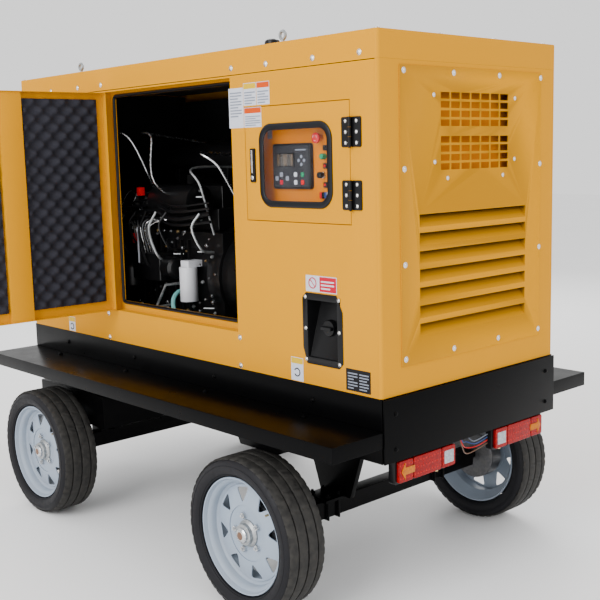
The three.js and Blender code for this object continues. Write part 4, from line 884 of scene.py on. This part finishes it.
deviceLow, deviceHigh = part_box("controller")
deviceMid = (deviceLow + deviceHigh) / 2
deviceSize = deviceHigh - deviceLow
device = Piece("controller_module")


def onDevice(across, down, out=0.0):  # shares of the face, from its top left corner
    return Vector((deviceLow.x + deviceSize.x * across, deviceLow.y - out,
                   deviceHigh.z - deviceSize.z * down))


deviceOutline = [(u + deviceMid.x, v + deviceMid.z)
                 for u, v in roundedOutline(deviceSize.x, deviceSize.z, 0.012)]
device.plate(deviceOutline, (0, deviceHigh.y, 0), toRear, toTop, deviceSize.y, plastic, 0.004, 4)
device.plate([(u * 0.93 + deviceMid.x, v * 0.9 + deviceMid.z)
              for u, v in roundedOutline(deviceSize.x, deviceSize.z, 0.008)],
             (0, deviceLow.y + 0.0005, 0), toRear, toTop, 0.0018, plasticGrey, 0.0006)
corner = onDevice(0.1, 0.52, 0.0013)
device.plate([(0, 0), (deviceSize.x * 0.5, 0), (deviceSize.x * 0.5, deviceSize.z * 0.32),
              (0, deviceSize.z * 0.32)],
             corner, toRear, toTop, 0.0016, plastic, 0.0006)
device.plate([(0.008, 0.006), (deviceSize.x * 0.5 - 0.008, 0.006),
              (deviceSize.x * 0.5 - 0.008, deviceSize.z * 0.32 - 0.006),
              (0.008, deviceSize.z * 0.32 - 0.006)], corner + toNear * 0.0014, toRear, toTop, 0.0006,
             screen)
for across, down in ((0.78, 0.29), (0.78, 0.46), (0.71, 0.375), (0.85, 0.375)):
    device.lathe([(0, 0), (0.0065, 0), (0.006, 0.0018), (0, 0.0024)], onDevice(across, down, 0.0012),
                 toNear, keyGrey, 20)
keyPads = [(0.24, 0.68, keyGrey), (0.24, 0.85, labelRed), (0.12, 0.765, keyGrey), (0.4, 0.765, keyGrey),
        (0.62, 0.68, labelWhite), (0.62, 0.85, labelWhite), (0.8, 0.68, greenGloss), (0.8, 0.85, redGloss)]
for across, down, finish in keyPads:
    device.plate(roundedOutline(0.017, 0.017, 0.004), onDevice(across, down, 0.0012), toRear, toTop, 0.0014,
                 finish, 0.0005)
device.box(onDevice(0.62, 0.16, 0.0022), onDevice(0.9, 0.13, 0.0012), labelGrey, 0.0002)
device.done(slot="black_plastic", replaces=["controller"])

stopLow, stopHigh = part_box("emergency_stop")
stopMid = (stopLow + stopHigh) / 2
button = Piece("stop_mushroom")
button.lathe([(0, 0), (0.014, 0.0006), (0.019, 0.0028), (0.0202, 0.006), (0.0195, 0.0105), (0.016, 0.0135),
              (0.0085, 0.014),
              (0.008, stopHigh.y - stopLow.y - 0.0002), (0, stopHigh.y - stopLow.y)],
             (stopMid.x, stopLow.y, stopMid.z),
             (0, 1, 0), redGloss, 36)
for i in range(3):  # raised turning arrows, plain
    turn = math.radians(120 * i + 30)
    tip = [(0.0105 * math.cos(turn + s * 0.16), 0.0105 * math.sin(turn + s * 0.16)) for s in range(-3, 4)]
    button.sweep([(stopMid.x + u, stopLow.y + 0.0002, stopMid.z + v) for u, v in tip], 0.0009, labelWhite,
                 6)
button.done("stop_button", "button_red", ["emergency_stop"])
startLow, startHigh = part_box("start_button")
startMid = (startLow + startHigh) / 2
button = Piece("start_push")
button.lathe([(0, 0), (0.008, 0.0003), (0.0105, 0.0022), (0.011, 0.005),
              (0.011, startHigh.y - startLow.y - 0.0002),
              (0, startHigh.y - startLow.y)], (startMid.x, startLow.y, startMid.z), (0, 1, 0), greenGloss,
             32)
button.done("run_button", "button_green", ["start_button"])
keyLow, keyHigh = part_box("key_switch")
keyMid = (keyLow + keyHigh) / 2
keyPiece = Piece("key_and_barrel")
keyPiece.lathe([(0, 0), (0.013, 0), (0.013, 0.004), (0.0115, 0.0075), (0.008, 0.009), (0, 0.009)],
               (keyMid.x, keyHigh.y, keyMid.z), toNear, zinc, 28)
keyPiece.plate([(keyMid.x + u * 0.012, keyMid.z + v * 0.012) for u, v in arc((0, 0), 1.0, 0, 345, 16)],
               (0, keyLow.y + 0.014, 0), toRear, toTop, 0.0135, plastic, 0.001)
keyPiece.done("key", "zinc", ["key_switch"])

# lamps, fuses and terminals down the right of the panel
panelTrim = Piece("panel_trim")
panelY = deviceHigh.y
columnX = startMid.x
for z, finish in ((stopMid.z - 0.036, labelDark), (startMid.z - 0.034, redGloss),
                  (keyMid.z - 0.036, redGloss)):
    panelTrim.box((columnX - 0.010, panelY - 0.006, z - 0.010),
                  (columnX + 0.010, panelY + 0.001, z + 0.010), plastic, 0.001)
    panelTrim.lathe([(0, 0), (0.0055, 0), (0.0045, 0.003), (0, 0.0045)], (columnX, panelY - 0.006, z),
                    toNear, finish, 18)
for i, finish in enumerate((redGloss, labelDark, wireBlue, labelWhite)):
    x = columnX - 0.02 + 0.013 * i
    panelTrim.box((x - 0.0055, panelY - 0.012, keyMid.z - 0.085),
                  (x + 0.0055, panelY + 0.001, keyMid.z - 0.062), finish,
                  0.0012)
panelTrim.box((deviceLow.x - 0.045, panelY - 0.0012, deviceHigh.z + 0.02),
              (deviceLow.x - 0.02, panelY + 0.0005, deviceHigh.z + 0.055),
              labelGrey, 0.0004)
for u, v in ((-1, -1), (1, -1), (-1, 1), (1, 1)):
    panelTrim.dome((windowMid.x + u * 0.24, panelY, windowMid.z + v * 0.175), toNear, 0.005, steel)
panelTrim.done(slot="black_plastic")
print("controls made")

# fuel filler pocket with its cover plate, screws and locking cap
fillerLow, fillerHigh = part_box("filler_recess")
fillerMid = (fillerLow + fillerHigh) / 2
filler = Piece("filler_cover").node("filler_recess", plastic, 0.0012)
for u, v in ((-0.42, 0.44), (0.42, 0.44), (-0.42, 0.0), (0.42, 0.0), (-0.42, -0.44), (0.42, -0.44)):
    filler.dome((fillerMid.x + u * (fillerHigh.x - fillerLow.x), fillerLow.y,
                 fillerMid.z + v * (fillerHigh.z - fillerLow.z)),
                toNear, 0.0055, steel)
filler.done(slot="black_plastic", replaces=["filler_recess"])
capLow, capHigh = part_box("fuel_cap")
capMid = (capLow + capHigh) / 2
fuelCap = Piece("filler_cap_shell")
fuelCap.lathe([(0, 0), (0.0295, 0), (0.031, 0.003), (0.031, 0.018), (0.0285, 0.023), (0.012, 0.0245),
               (0, 0.0245)],
              (capMid.x, capHigh.y, capMid.z), toNear, plastic, 72, wave=lambda k, i: -0.0012
              if k in (2, 3) and i % 4 < 2 else 0)
fuelCap.box((capMid.x - 0.026, capLow.y, capMid.z - 0.006),
            (capMid.x + 0.026, capHigh.y - 0.018, capMid.z + 0.006), plastic,
            0.002, 3)
fuelCap.lathe([(0, 0), (0.006, 0), (0.005, 0.002), (0, 0.0024)], (capMid.x, capLow.y + 0.0026, capMid.z),
              toNear, zinc, 20)
fuelCap.done("filler_cap", "black_plastic", ["fuel_cap"])

# plain stickers: blocks and bars of colour only
stickers = Piece("side_stickers")


def sticker(left, right, low, high, finish, lift=0.0002):
    outline = roundedOutline(right - left, high - low, 0.0012, 2)
    middle = Vector((rearX + (left + right) / 2, nearY - lift, sillZ + (low + high) / 2))
    stickers.plate(outline, middle, toRear, toTop, 0.0004, finish)


def bars(left, right, low, high, count, finish, lift=0.0007, fill=0.45, short=0.7):
    pitch = (high - low) / count
    for i in range(count):
        end = left + (right - left) * (1 if i % 3 else short)
        sticker(left, end, low + i * pitch, low + (i + fill) * pitch, finish, lift)


sticker(-0.790, -0.702, 0.958, 1.110, labelWhite)
bars(-0.782, -0.712, 1.000, 1.100, 9, labelGrey)
for left, right, low, high, header in ((-0.700, -0.625, 1.040, 1.125, labelYellow),
                                       (-0.622, -0.548, 1.040, 1.125, labelOrange),
                                       (-0.699, -0.598, 0.958, 1.033, labelOrange)):
    sticker(left, right, low, high, labelWhite)
    sticker(left + 0.002, right - 0.002, high - 0.022, high - 0.002, header, 0.0006)
    bars(left + 0.006, right - 0.006, low + 0.006, high - 0.028, 5, labelGrey)
sticker(-0.373, -0.211, 0.352, 0.412, labelWhite)
sticker(-0.300, -0.214, 0.355, 0.409, labelRed, 0.0006)
bars(-0.292, -0.224, 0.364, 0.402, 3, labelWhite, 0.001)
ring = arc((0, 0), 0.019, 0, 348, 30)
stickers.sweep([(rearX - 0.337 + u, nearY - 0.0006, sillZ + 0.384 + v) for u, v in ring], 0.0022, labelRed,
               6, closed=True)
stickers.sweep([(rearX - 0.350, nearY - 0.0006, sillZ + 0.397),
                (rearX - 0.324, nearY - 0.0006, sillZ + 0.371)], 0.0018,
               labelRed, 6)
for left, right, low, high in ((-0.466, -0.398, 0.003, 0.093), (-2.133, -2.073, 0.003, 0.075)):
    sticker(left, right, low, high, labelWhite)
    sticker(left + 0.002, right - 0.002, high - 0.024, high - 0.002, labelYellow, 0.0006)
    middle = ((left + right) / 2, (low + high) / 2 - 0.012)
    hook = arc(middle, 0.015, -150, 150, 16)
    stickers.sweep([(rearX + u, nearY - 0.0006, sillZ + v) for u, v in hook], 0.0024, labelDark, 6)
sticker(-0.172, -0.051, 0.010, 0.090, labelDark)
bars(-0.163, -0.115, 0.018, 0.082, 6, labelGrey, short=0.6)
bars(-0.106, -0.060, 0.018, 0.082, 6, labelGrey, short=0.8)
stickers.done(slot="canopy_yellow")
print("stickers made")

# running gear: folded and welded black steel with eased edges
framework = {
    "trailer": [
        ("deck_plate", "deck", black, 0.0015), ("chassis_steel", "chassis_frame", black, 0.002),
        ("base_sills", "base_frame", black, 0.0015), ("tail_plate", "tail_board", black, 0.001),
        ("tank_shell", "fuel_tank", black, 0.003), ("rear_beam", "rear_axle", black, 0.004),
        ("turntable_ring", "turntable_upper_ring", black, 0.001),
        ("near_lift_bar", "near_lifting_bar", galvanised, 0.0008),
        ("far_lift_bar", "far_lifting_bar", galvanised, 0.0008)],
    "steering_bolster": [
        ("bolster_steel", "front_bolster", black, 0.0015), ("front_beam", "front_axle", black, 0.002),
        ("pivot_pin", "drawbar_pin", zinc, 0.001)],
    "towbar": [("drawbar_frame", "drawbar", black, 0.0025), ("tow_ring", "tow_eye", galvanised, 0.0012)],
}
for body, rows in framework.items():
    for name, node, finish, edge in rows:
        slotName = "zinc" if finish in (zinc, galvanised) else "chassis_black"
        Piece(name).node(node, finish, edge).done(body, slotName, [node])

fixings = Piece("chassis_fixings")
for fromRear in (0.35, 0.95, 1.55, 2.15):  # bolts joining the sills to the deck
    for y, axis in ((nearY, toNear), (farY, -toNear)):
        fixings.dome((rearX - fromRear, y, (baseLow.z + baseHigh.z) / 2), axis, 0.009, black)
        fixings.hexNut((rearX - fromRear, y + 0.05 * axis.y, deckHigh.z), toTop, 0.011, 0.008, black)
for across in (0.06, 0.986):
    for up in (-0.06, -0.19):
        fixings.dome(onEnd(across, up, 0.0125), toRear, 0.007, black)
axleLow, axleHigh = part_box("rear_axle")
for side in (-1, 1):  # U-bolts and clamp plates where the hangers meet the rear beam
    y = midY + side * 0.33
    for shift in (-0.03, 0.03):
        legs = [(axleLow.x - 0.009, y + shift, axleHigh.z + 0.03),
                (axleLow.x - 0.009, y + shift, axleLow.z - 0.004),
                (axleHigh.x + 0.009, y + shift, axleLow.z - 0.004),
                (axleHigh.x + 0.009, y + shift, axleHigh.z + 0.03)]
        fixings.sweep(legs, 0.006, black, 10)
        for x in (axleLow.x - 0.009, axleHigh.x + 0.009):
            fixings.hexNut((x, y + shift, axleHigh.z + 0.014), toTop, 0.011, 0.009, black)
    fixings.box((axleLow.x - 0.03, y - 0.06, axleHigh.z + 0.001),
                (axleHigh.x + 0.03, y + 0.06, axleHigh.z + 0.013), black, 0.002)
fixings.done(slot="chassis_black")
print("running gear made")

lampShape = {"corner": 0.012, "bezel": 0.016, "lens": 0.0118, "cell": 0.052, "ribs": 7}
for side, node in ((-1, "near_tail_lamp"), (1, "far_tail_lamp")):
    low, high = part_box(node)
    lampPiece = Piece(node + "_lens")
    width, tall = high.y - low.y, high.z - low.z
    middle = Vector((0, (low.y + high.y) / 2, (low.z + high.z) / 2))
    rect = roundedOutline(width, tall, lampShape["corner"])
    lampPiece.plate(rect, (low.x, middle.y, middle.z), toFar, toTop, high.x - low.x - lampShape["bezel"],
                    plastic, 0.003)
    face = high.x - lampShape["bezel"]
    spans = [(-0.47, -0.24), (-0.235, 0.235), (0.24, 0.47)]
    if side > 0:
        spans = [(-b, -a) for a, b in spans]
    for start, end in spans:
        cell = roundedOutline((end - start) * width * 0.985, tall * 0.86, 0.008)
        at = (face, middle.y + (start + end) / 2 * width, middle.z)
        lampPiece.plate(cell, at, toFar, toTop, 0.0125, lampRed, 0.003, 3)
        columns = max(3, round((end - start) * 22))
        for i in range(columns):
            for row in (-0.26, 0.0, 0.26):
                y = middle.y + (start + (end - start) * (i + 0.5) / columns) * width
                lampPiece.dome((face + lampShape["lens"], y, middle.z + row * tall), toRear, 0.0036,
                               lampBright, 1.05, 0.25, 10)
    # an amber arrow points outwards and a ribbed white cell lights the plate
    tip = middle.y + side * 0.43 * width
    shape = [(tip, middle.z)] + [(tip - side * (0.02 + u * 0.085), middle.z + v * tall) for u, v in
                                 ((0, 0.34), (0, 0.14), (0.6, 0.14), (0.6, -0.14), (0, -0.14), (0, -0.34))]
    lampPiece.plate(shape, (face + 0.012, 0, 0), toFar, toTop, 0.0028, lampAmber, 0.0006)
    cellAt = (face + lampShape["lens"], middle.y - side * 0.355 * width, middle.z)
    lampPiece.plate(roundedOutline(lampShape["cell"], tall * 0.52, 0.003), cellAt, toFar, toTop, 0.003,
                    lampClear, 0.001)
    for i in range(lampShape["ribs"]):
        z = middle.z + (i - 3) * tall * 0.068
        lampPiece.box((face + 0.014, cellAt[1] - 0.023, z - 0.0016),
                      (face + 0.0158, cellAt[1] + 0.023, z + 0.0016), lampClear,
                      0.0006)
    lampPiece.rod((low.x + 0.006, middle.y - side * 0.09, low.z - 0.012),
                  (low.x + 0.006, middle.y - side * 0.09, low.z + 0.002),
                  0.007, brass)
    lampPiece.done(slot="lamp_red", replaces=[node])

# lamp wires run up behind the tail plate
wires = Piece("lamp_wires")
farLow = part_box("far_tail_lamp")[0]
for i, finish in enumerate((wireBrown, redGloss, wireBlue, labelGrey)):
    start = Vector((farLow.x + 0.01, farLow.y + 0.004, farLow.z + 0.03 + 0.012 * i))
    path = smoothPath([start, start + Vector((-0.02, -0.035 - 0.01 * i, -0.02)),
                       start + Vector((-0.04, -0.085, -0.035 + 0.012 * i)),
                       start + Vector((-0.02, -0.14, 0.01)),
                       (farLow.x - 0.015, farLow.y - 0.17, deckLow.z - 0.02)], 8)
    wires.sweep(path, 0.0024, finish, 8)
wires.done(slot="chassis_black")
print("lamps made")

wheel = {"tyre": 0.302, "holes": 8, "holeAt": 0.151, "nuts": 5, "nutAt": 0.06985}
tyreProfile = [(0.228, 0.070), (0.232, 0.082), (0.246, 0.0915), (0.262, 0.0948), (0.276, 0.0925),
               (0.288, 0.0865),
               (0.2945, 0.078), (0.2948, 0.04)]
tyreProfile = tyreProfile + [(r, -a)
                             for r, a in reversed(tyreProfile)] + [(0.2275, -0.06), (0.2275, 0.06),
                                                                   tyreProfile[0]]
ribs = [(-0.0845, -0.050), (-0.0445, -0.0035), (0.0035, 0.0445), (0.050, 0.0845)]


def rimDish(radius):
    return 0.012 * max(0.0, min(1.0, (0.178 - radius) / 0.06))


def wheelHole(turn):  # a triangle with its point inwards and generous corners
    raw = [(wheel["holeAt"] + 0.025, -0.037), (wheel["holeAt"] + 0.025, 0.037),
           (wheel["holeAt"] - 0.036, 0.0)]
    loop = []
    for i in range(3):
        a, b, c = Vector(raw[i - 1]), Vector(raw[i]), Vector(raw[(i + 1) % 3])
        start, end = b + (a - b).normalized() * 0.016, b + (c - b).normalized() * 0.016
        loop += [start.lerp(b, t).lerp(b.lerp(end, t), t) for t in (0, 0.2, 0.4, 0.6, 0.8, 1.0)]
    return [(p.x * math.cos(turn) - p.y * math.sin(turn), p.x * math.sin(turn) + p.y * math.cos(turn))
            for p in loop]


for corner in ("near_rear", "far_rear", "near_front", "far_front"):
    side = -1 if corner.startswith("near") else 1
    body = corner + "_wheel"
    centre = pivot(corner + "_roll")
    out = Vector((0, side, 0))
    tyrePiece = Piece(corner + "_tyre_body")
    tyrePiece.lathe(tyreProfile, centre, out, tyre, 96)
    for start, end in ribs:  # four ribs, the outer two notched at the shoulder
        outer = max(abs(start), abs(end)) > 0.08
        low = 0.2925
        loop = [(low, start), (wheel["tyre"] - 0.0008, start), (wheel["tyre"], start + 0.002),
                (wheel["tyre"], end - 0.002),
                (wheel["tyre"] - 0.0008, end), (low, end), (low, start)]
        if outer and end > 0:
            loop[3:5] = [(wheel["tyre"] - 0.001, end - 0.010), (0.2955, end)]
        if outer and end < 0:
            loop[1:3] = [(0.2955, start), (wheel["tyre"] - 0.001, start + 0.010)]
        notch = (3, 4) if outer and end > 0 else (1, 2)
        tyrePiece.lathe(loop, centre, out, tread, 192,
                        wave=(lambda k, i, n=notch: -0.004 if k in n and i % 4 == 0 else 0.0) if outer else
                             (lambda k, i: -0.003 if k in (1, 4) and i % 8 == 0 else 0.0))
    for radius in (0.236, 0.271):  # moulding lines on the sidewall
        for face in (-1, 1):
            along = face * (0.0862 if radius < 0.25 else 0.0940)
            tyrePiece.lathe([(radius - 0.0012, along - face * 0.002), (radius, along + face * 0.0009),
                             (radius + 0.0012, along - face * 0.002),
                             (radius - 0.0012, along - face * 0.002)], centre, out, tyre, 96)
    tyrePiece.done(body, "tyre", [corner + "_tyre"])

    rim = Piece(corner + "_rim_body")
    barrel = [(0.2258, 0.0745), (0.224, 0.0775), (0.2195, 0.0765), (0.2165, 0.069), (0.2135, 0.062),
              (0.2045, 0.056),
              (0.1995, 0.046), (0.1975, 0.030), (0.186, 0.021), (0.1845, -0.03), (0.199, -0.045),
              (0.207, -0.058),
              (0.2195, -0.0765), (0.2255, -0.0755), (0.2235, -0.066), (0.2105, -0.052), (0.203, -0.040),
              (0.189, -0.026),
              (0.1895, 0.018), (0.202, 0.028), (0.2045, 0.046), (0.209, 0.053), (0.2185, 0.060),
              (0.2258, 0.0745)]
    rim.lathe(barrel, centre, out, rimWhite, 96)
    across = Vector((-side, 0, 0))
    holes = [wheelHole(2 * math.pi * i / wheel["holes"] + 0.2) for i in range(wheel["holes"])]
    rim.pierced(arc((0, 0), 0.1865, 0, 357, 119), holes + [arc((0, 0), 0.108, 0, 354, 59)],
                centre + out * 0.020, across, toTop,
                0.0045, rimWhite, rimDish, 0.001)
    rim.lathe([(0, 0.030), (0.055, 0.030), (0.086, 0.030), (0.097, 0.0335), (0.1085, 0.0325),
               (0.1085, 0.027), (0.09, 0.022),
               (0, 0.022)], centre, out, rimWhite, 96)
    rim.lathe([(0, 0.028), (0.053, 0.028), (0.0525, 0.036), (0.047, 0.040), (0.042, 0.0445),
               (0.0405, 0.058), (0.036, 0.0605),
               (0, 0.0605)], centre, out, galvanised, 48)
    rim.lathe([(0, 0.058), (0.029, 0.058), (0.030, 0.062), (0.0285, 0.068), (0.023, 0.073), (0.018, 0.0742),
               (0, 0.0742)], centre,
              out, zinc, 40)
    rim.lathe([(0, 0.0735), (0.0165, 0.0735), (0.014, 0.0755), (0, 0.077)], centre, out, wireBrown, 30)
    for i in range(wheel["nuts"]):
        turn = 2 * math.pi * i / wheel["nuts"] + 0.6
        at = centre + Vector((math.cos(turn), 0, math.sin(turn))) * wheel["nutAt"] + out * 0.0295
        rim.lathe([(0, 0), (0.0155, 0), (0.0125, 0.0035), (0, 0.004)], at, out, rimWhite, 24)
        rim.hexNut(at + out * 0.0035, out, 0.0125, 0.012, zinc)
    rim.rod(centre + Vector((0.148, 0, 0.118)) + out * 0.04,
            centre + Vector((0.142, 0, 0.113)) + out * 0.066, 0.0042, brass, 12)
    rim.lathe([(0.0, -0.078), (0.103, -0.078), (0.113, -0.072), (0.113, -0.006), (0.105, 0.0), (0.0, 0.0)],
              centre, out, iron, 64)
    rim.lathe([(0.0, -0.001), (0.060, -0.001), (0.056, 0.022), (0.0, 0.022)], centre, out, galvanised, 40)
    rim.done(body, "rim_white", [corner + "_rim"])
print("wheels made")

# engine bay: the big castings with their cooling ribs, bolts, pipes and harness
blockLow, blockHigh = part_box("engine_block")
headLow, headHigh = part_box("cylinder_head")
castings = {"engine_casting": ("engine_block", 0.006), "head_casting": ("cylinder_head", 0.004),
            "alternator_shell": ("alternator", 0.004), "radiator_core": ("radiator", 0.002),
            "exhaust_box": ("muffler", 0.003), "intake_filter": ("air_filter", 0.003)}
for name, (node, edge) in castings.items():
    Piece(name).node(node, engineBlack, edge).done(slot="engine_black", replaces=[node])
Piece("battery_case").node("battery", plastic, 0.003).done(slot="black_plastic", replaces=["battery"])
Piece("water_hose").node("coolant_hose", teal, 0.0).done(slot="hose_teal", replaces=["coolant_hose"])
Piece("fan_blades").node("cooling_fan", plastic, 0.001).done("fan", "black_plastic", ["cooling_fan"])
canister = Piece("filter_canister").node("fuel_filter", whitePaint, 0.002)
canister.done(slot="filter_white", replaces=["fuel_filter"])

bay = Piece("engine_fittings")
face = blockLow.y - 0.001


def onBay(back, up, out=0.0):
    return Vector((rearX - back, face - out, sillZ + up))


for up in (0.786, 0.511, 0.236):
    bay.hexNut(onBay(1.951, up, 0.11), toNear, 0.014, 0.010, zinc)
bay.box(onBay(1.985, 0.10, 0.11), onBay(1.915, 0.84, 0.10), engineBlack, 0.004)
bay.box(onBay(1.958, 0.12, 0.102), onBay(1.942, 0.53, -0.004), engineBlack, 0.003)
for i in range(12):  # side cover ribs and the bolts round it
    x = 2.08 - i * 0.055
    bay.box(onBay(x, 0.12, 0.014), onBay(x - 0.010, 0.47, -0.004), engineBlack, 0.004)
    bay.hexNut(onBay(x - 0.03, 0.505, 0.0), toNear, 0.009, 0.008, zinc if i % 3 else brass)
    bay.hexNut(onBay(x - 0.03, 0.075, 0.0), toNear, 0.008, 0.007, iron)
for i in range(8):  # injectors, banjo bolts and their pipes from the pump
    x = rearX - 2.06 + i * 0.088
    top = Vector((x, headLow.y + 0.018, (headLow.z + headHigh.z) / 2 - 0.002))
    bay.lathe([(0, 0), (0.013, 0), (0.013, 0.03), (0.009, 0.034), (0.009, 0.06), (0, 0.06)], top, toTop,
              iron, 16)
    bay.hexNut(top + toTop * 0.055, toTop, 0.011, 0.012, zinc)
    pump = onBay(1.80 - i * 0.022, 0.40, 0.07)
    bay.sweep(smoothPath([top + toTop * 0.06, top + Vector((0.004, -0.05, 0.075)),
                          top + Vector((0, -0.1, -0.02)),
                          pump + Vector((0.01, -0.03, 0.14)), pump], 7), 0.0032, zinc if i % 2 else iron, 8)
bay.box(onBay(1.84, 0.27, 0.085), onBay(1.60, 0.40, 0.0), engineBlack, 0.008, 3)
bay.lathe([(0, 0), (0.045, 0), (0.052, 0.008), (0.052, 0.07), (0.04, 0.082), (0, 0.082)],
          onBay(1.60, 0.335, 0.04), toRear,
          engineBlack, 32)
bay.rod(onBay(1.7315, 0.695, 0.08), (rearX - 1.7315, headLow.y + 0.002, sillZ + 0.60), 0.010, plastic)
bay.rod(onBay(1.789, 0.470, 0.08), onBay(1.789, 0.470, -0.004), 0.010, plastic)
bay.box(onBay(1.754, 0.345, 0.101), onBay(1.736, 0.530, -0.004), plastic, 0.002)
bay.box(onBay(1.745, 0.675, 0.10), onBay(1.718, 0.715, 0.07), redGloss, 0.004)
bay.box(onBay(1.800, 0.445, 0.10), onBay(1.778, 0.495, 0.07), redGloss, 0.004)
bay.box(onBay(1.749, 0.354, 0.106), onBay(1.741, 0.526, 0.100), labelWhite, 0.001)
bay.sweep(smoothPath([(radiatorHigh.x - 0.002, blockLow.y, radiatorHigh.z - 0.03), onBay(2.10, 0.96, 0.06),
                      onBay(1.94, 0.982, 0.10),
                      onBay(1.87, 0.93, 0.03), (rearX - 1.85, headLow.y + 0.03, sillZ + 0.60)]), 0.006,
          zinc)
bay.sweep(smoothPath([(rearX - 1.74, 0.43, sillZ + 0.92), onBay(1.69, 0.966, 0.07), onBay(1.60, 0.945, 0.1),
                      onBay(1.592, 0.740, 0.1),
                      (rearX - 1.585, headLow.y + 0.02, sillZ + 0.60)]), 0.005, zinc)
bay.sweep([onBay(1.620, 0.149, -0.003), onBay(1.620, 0.149, 0.1), onBay(1.536, 0.261, 0.1),
           onBay(1.536, 0.261, -0.003)], 0.007,
          galvanised)
bay.sweep(smoothPath([(rearX - 1.45, 0.40, sillZ + 0.85), onBay(1.33, 0.87, 0.02), onBay(1.235, 0.81, 0.0),
                      (rearX - 1.20, 0.18, sillZ + 0.625)]), 0.006,
          zinc)
bay.sweep(smoothPath([(rearX - 1.45, 0.38, sillZ + 0.80), onBay(1.37, 0.80, 0.04), onBay(1.29, 0.72, 0.06),
                      onBay(1.285, 0.50, -0.003)]), 0.005,
          galvanised)
loom = [onBay(2.05, 0.62, 0.05), onBay(1.86, 0.585, 0.08), onBay(1.66, 0.605, 0.06),
        onBay(1.46, 0.57, 0.09), onBay(1.24, 0.60, 0.05)]
bay.sweep(smoothPath(loom, 10), 0.011, plastic, 12)
for clip in loom[1:4]:
    bay.rod(clip, (clip.x, headLow.y + 0.002, min(clip.z, sillZ + 0.60)), 0.004, iron, 8)
for shift, thick in ((0.03, 0.006), (0.055, 0.0045), (-0.03, 0.007)):
    bay.sweep(smoothPath([p + Vector((0.01, -0.008, shift + 0.012 * math.sin(3 * k)))
                          for k, p in enumerate(loom)], 9), thick, plastic, 8)
bay.lathe([(0, 0), (0.05, 0), (0.058, 0.01), (0.058, 0.10), (0.05, 0.11), (0.03, 0.118), (0, 0.12)],
          onBay(1.88, 0.335, 0.06),
          (0, 0, -1), engineBlack, 36)
bay.lathe([(0, 0), (0.06, 0), (0.06, 0.016), (0.05, 0.02), (0, 0.02)], onBay(2.07, 0.56, 0.085), toRear,
          engineBlack, 40)
bay.lathe([(0, 0), (0.075, 0), (0.078, 0.006), (0.066, 0.012), (0.078, 0.018), (0.075, 0.024), (0, 0.024)],
          onBay(2.085, 0.36, 0.06), toRear, engineBlack, 48)
for back, up, size in ((1.33, 0.45, 0.010), (1.30, 0.19, 0.011), (1.40, 0.14, 0.009), (1.52, 0.43, 0.010),
                       (1.66, 0.16, 0.011), (1.88, 0.13, 0.010),
                       (1.86, 0.60, 0.009), (1.48, 0.66, 0.010), (1.36, 0.70, 0.011), (1.71, 0.60, 0.009),
                       (1.56, 0.60, 0.010)):
    bay.hexNut(onBay(back, up, 0.0), toNear, size, 0.012, zinc)
    bay.rod(onBay(back, up - 0.03, 0.0), onBay(back + 0.04, up - 0.03, 0.03), 0.004, galvanised, 10)
for i in range(90):  # bolts, clips and unions spread over the castings
    back = 1.24 + 0.86 * ((i * 0.61803) % 1.0)
    up = 0.06 + 0.54 * ((i * 0.75488) % 1.0)
    seat = Vector((rearX - back, blockLow.y, sillZ + up))
    if up > 0.51:  # above the block the nuts sit on the head
        seat = Vector((headLow.x + (2.1 - back) * 0.86, headLow.y, sillZ + up))
    elif seat.x > blockHigh.x - 0.012:
        continue
    size = 0.005 + 0.004 * ((i * 0.41421) % 1.0)
    bay.hexNut(seat, toNear, size, size, (zinc, galvanised, steel, brass, iron)[i % 5])
for i in range(9):  # rubber hoses that drop from the loom
    back = 1.28 + i * 0.085
    drop = 0.16 + 0.05 * (i % 3)
    if 1.36 < back < 1.53:  # the fuel filter stands there
        continue
    bay.sweep(smoothPath([onBay(back, 0.60, 0.08), onBay(back + 0.02, 0.60 - drop * 0.4, 0.11),
                          onBay(back - 0.02, 0.60 - drop, 0.09),
                          onBay(back + 0.01, 0.58 - drop, 0.0)], 7), 0.0055, plastic if i % 4
              else galvanised, 8)
bay.done(slot="engine_black")
print("engine made")
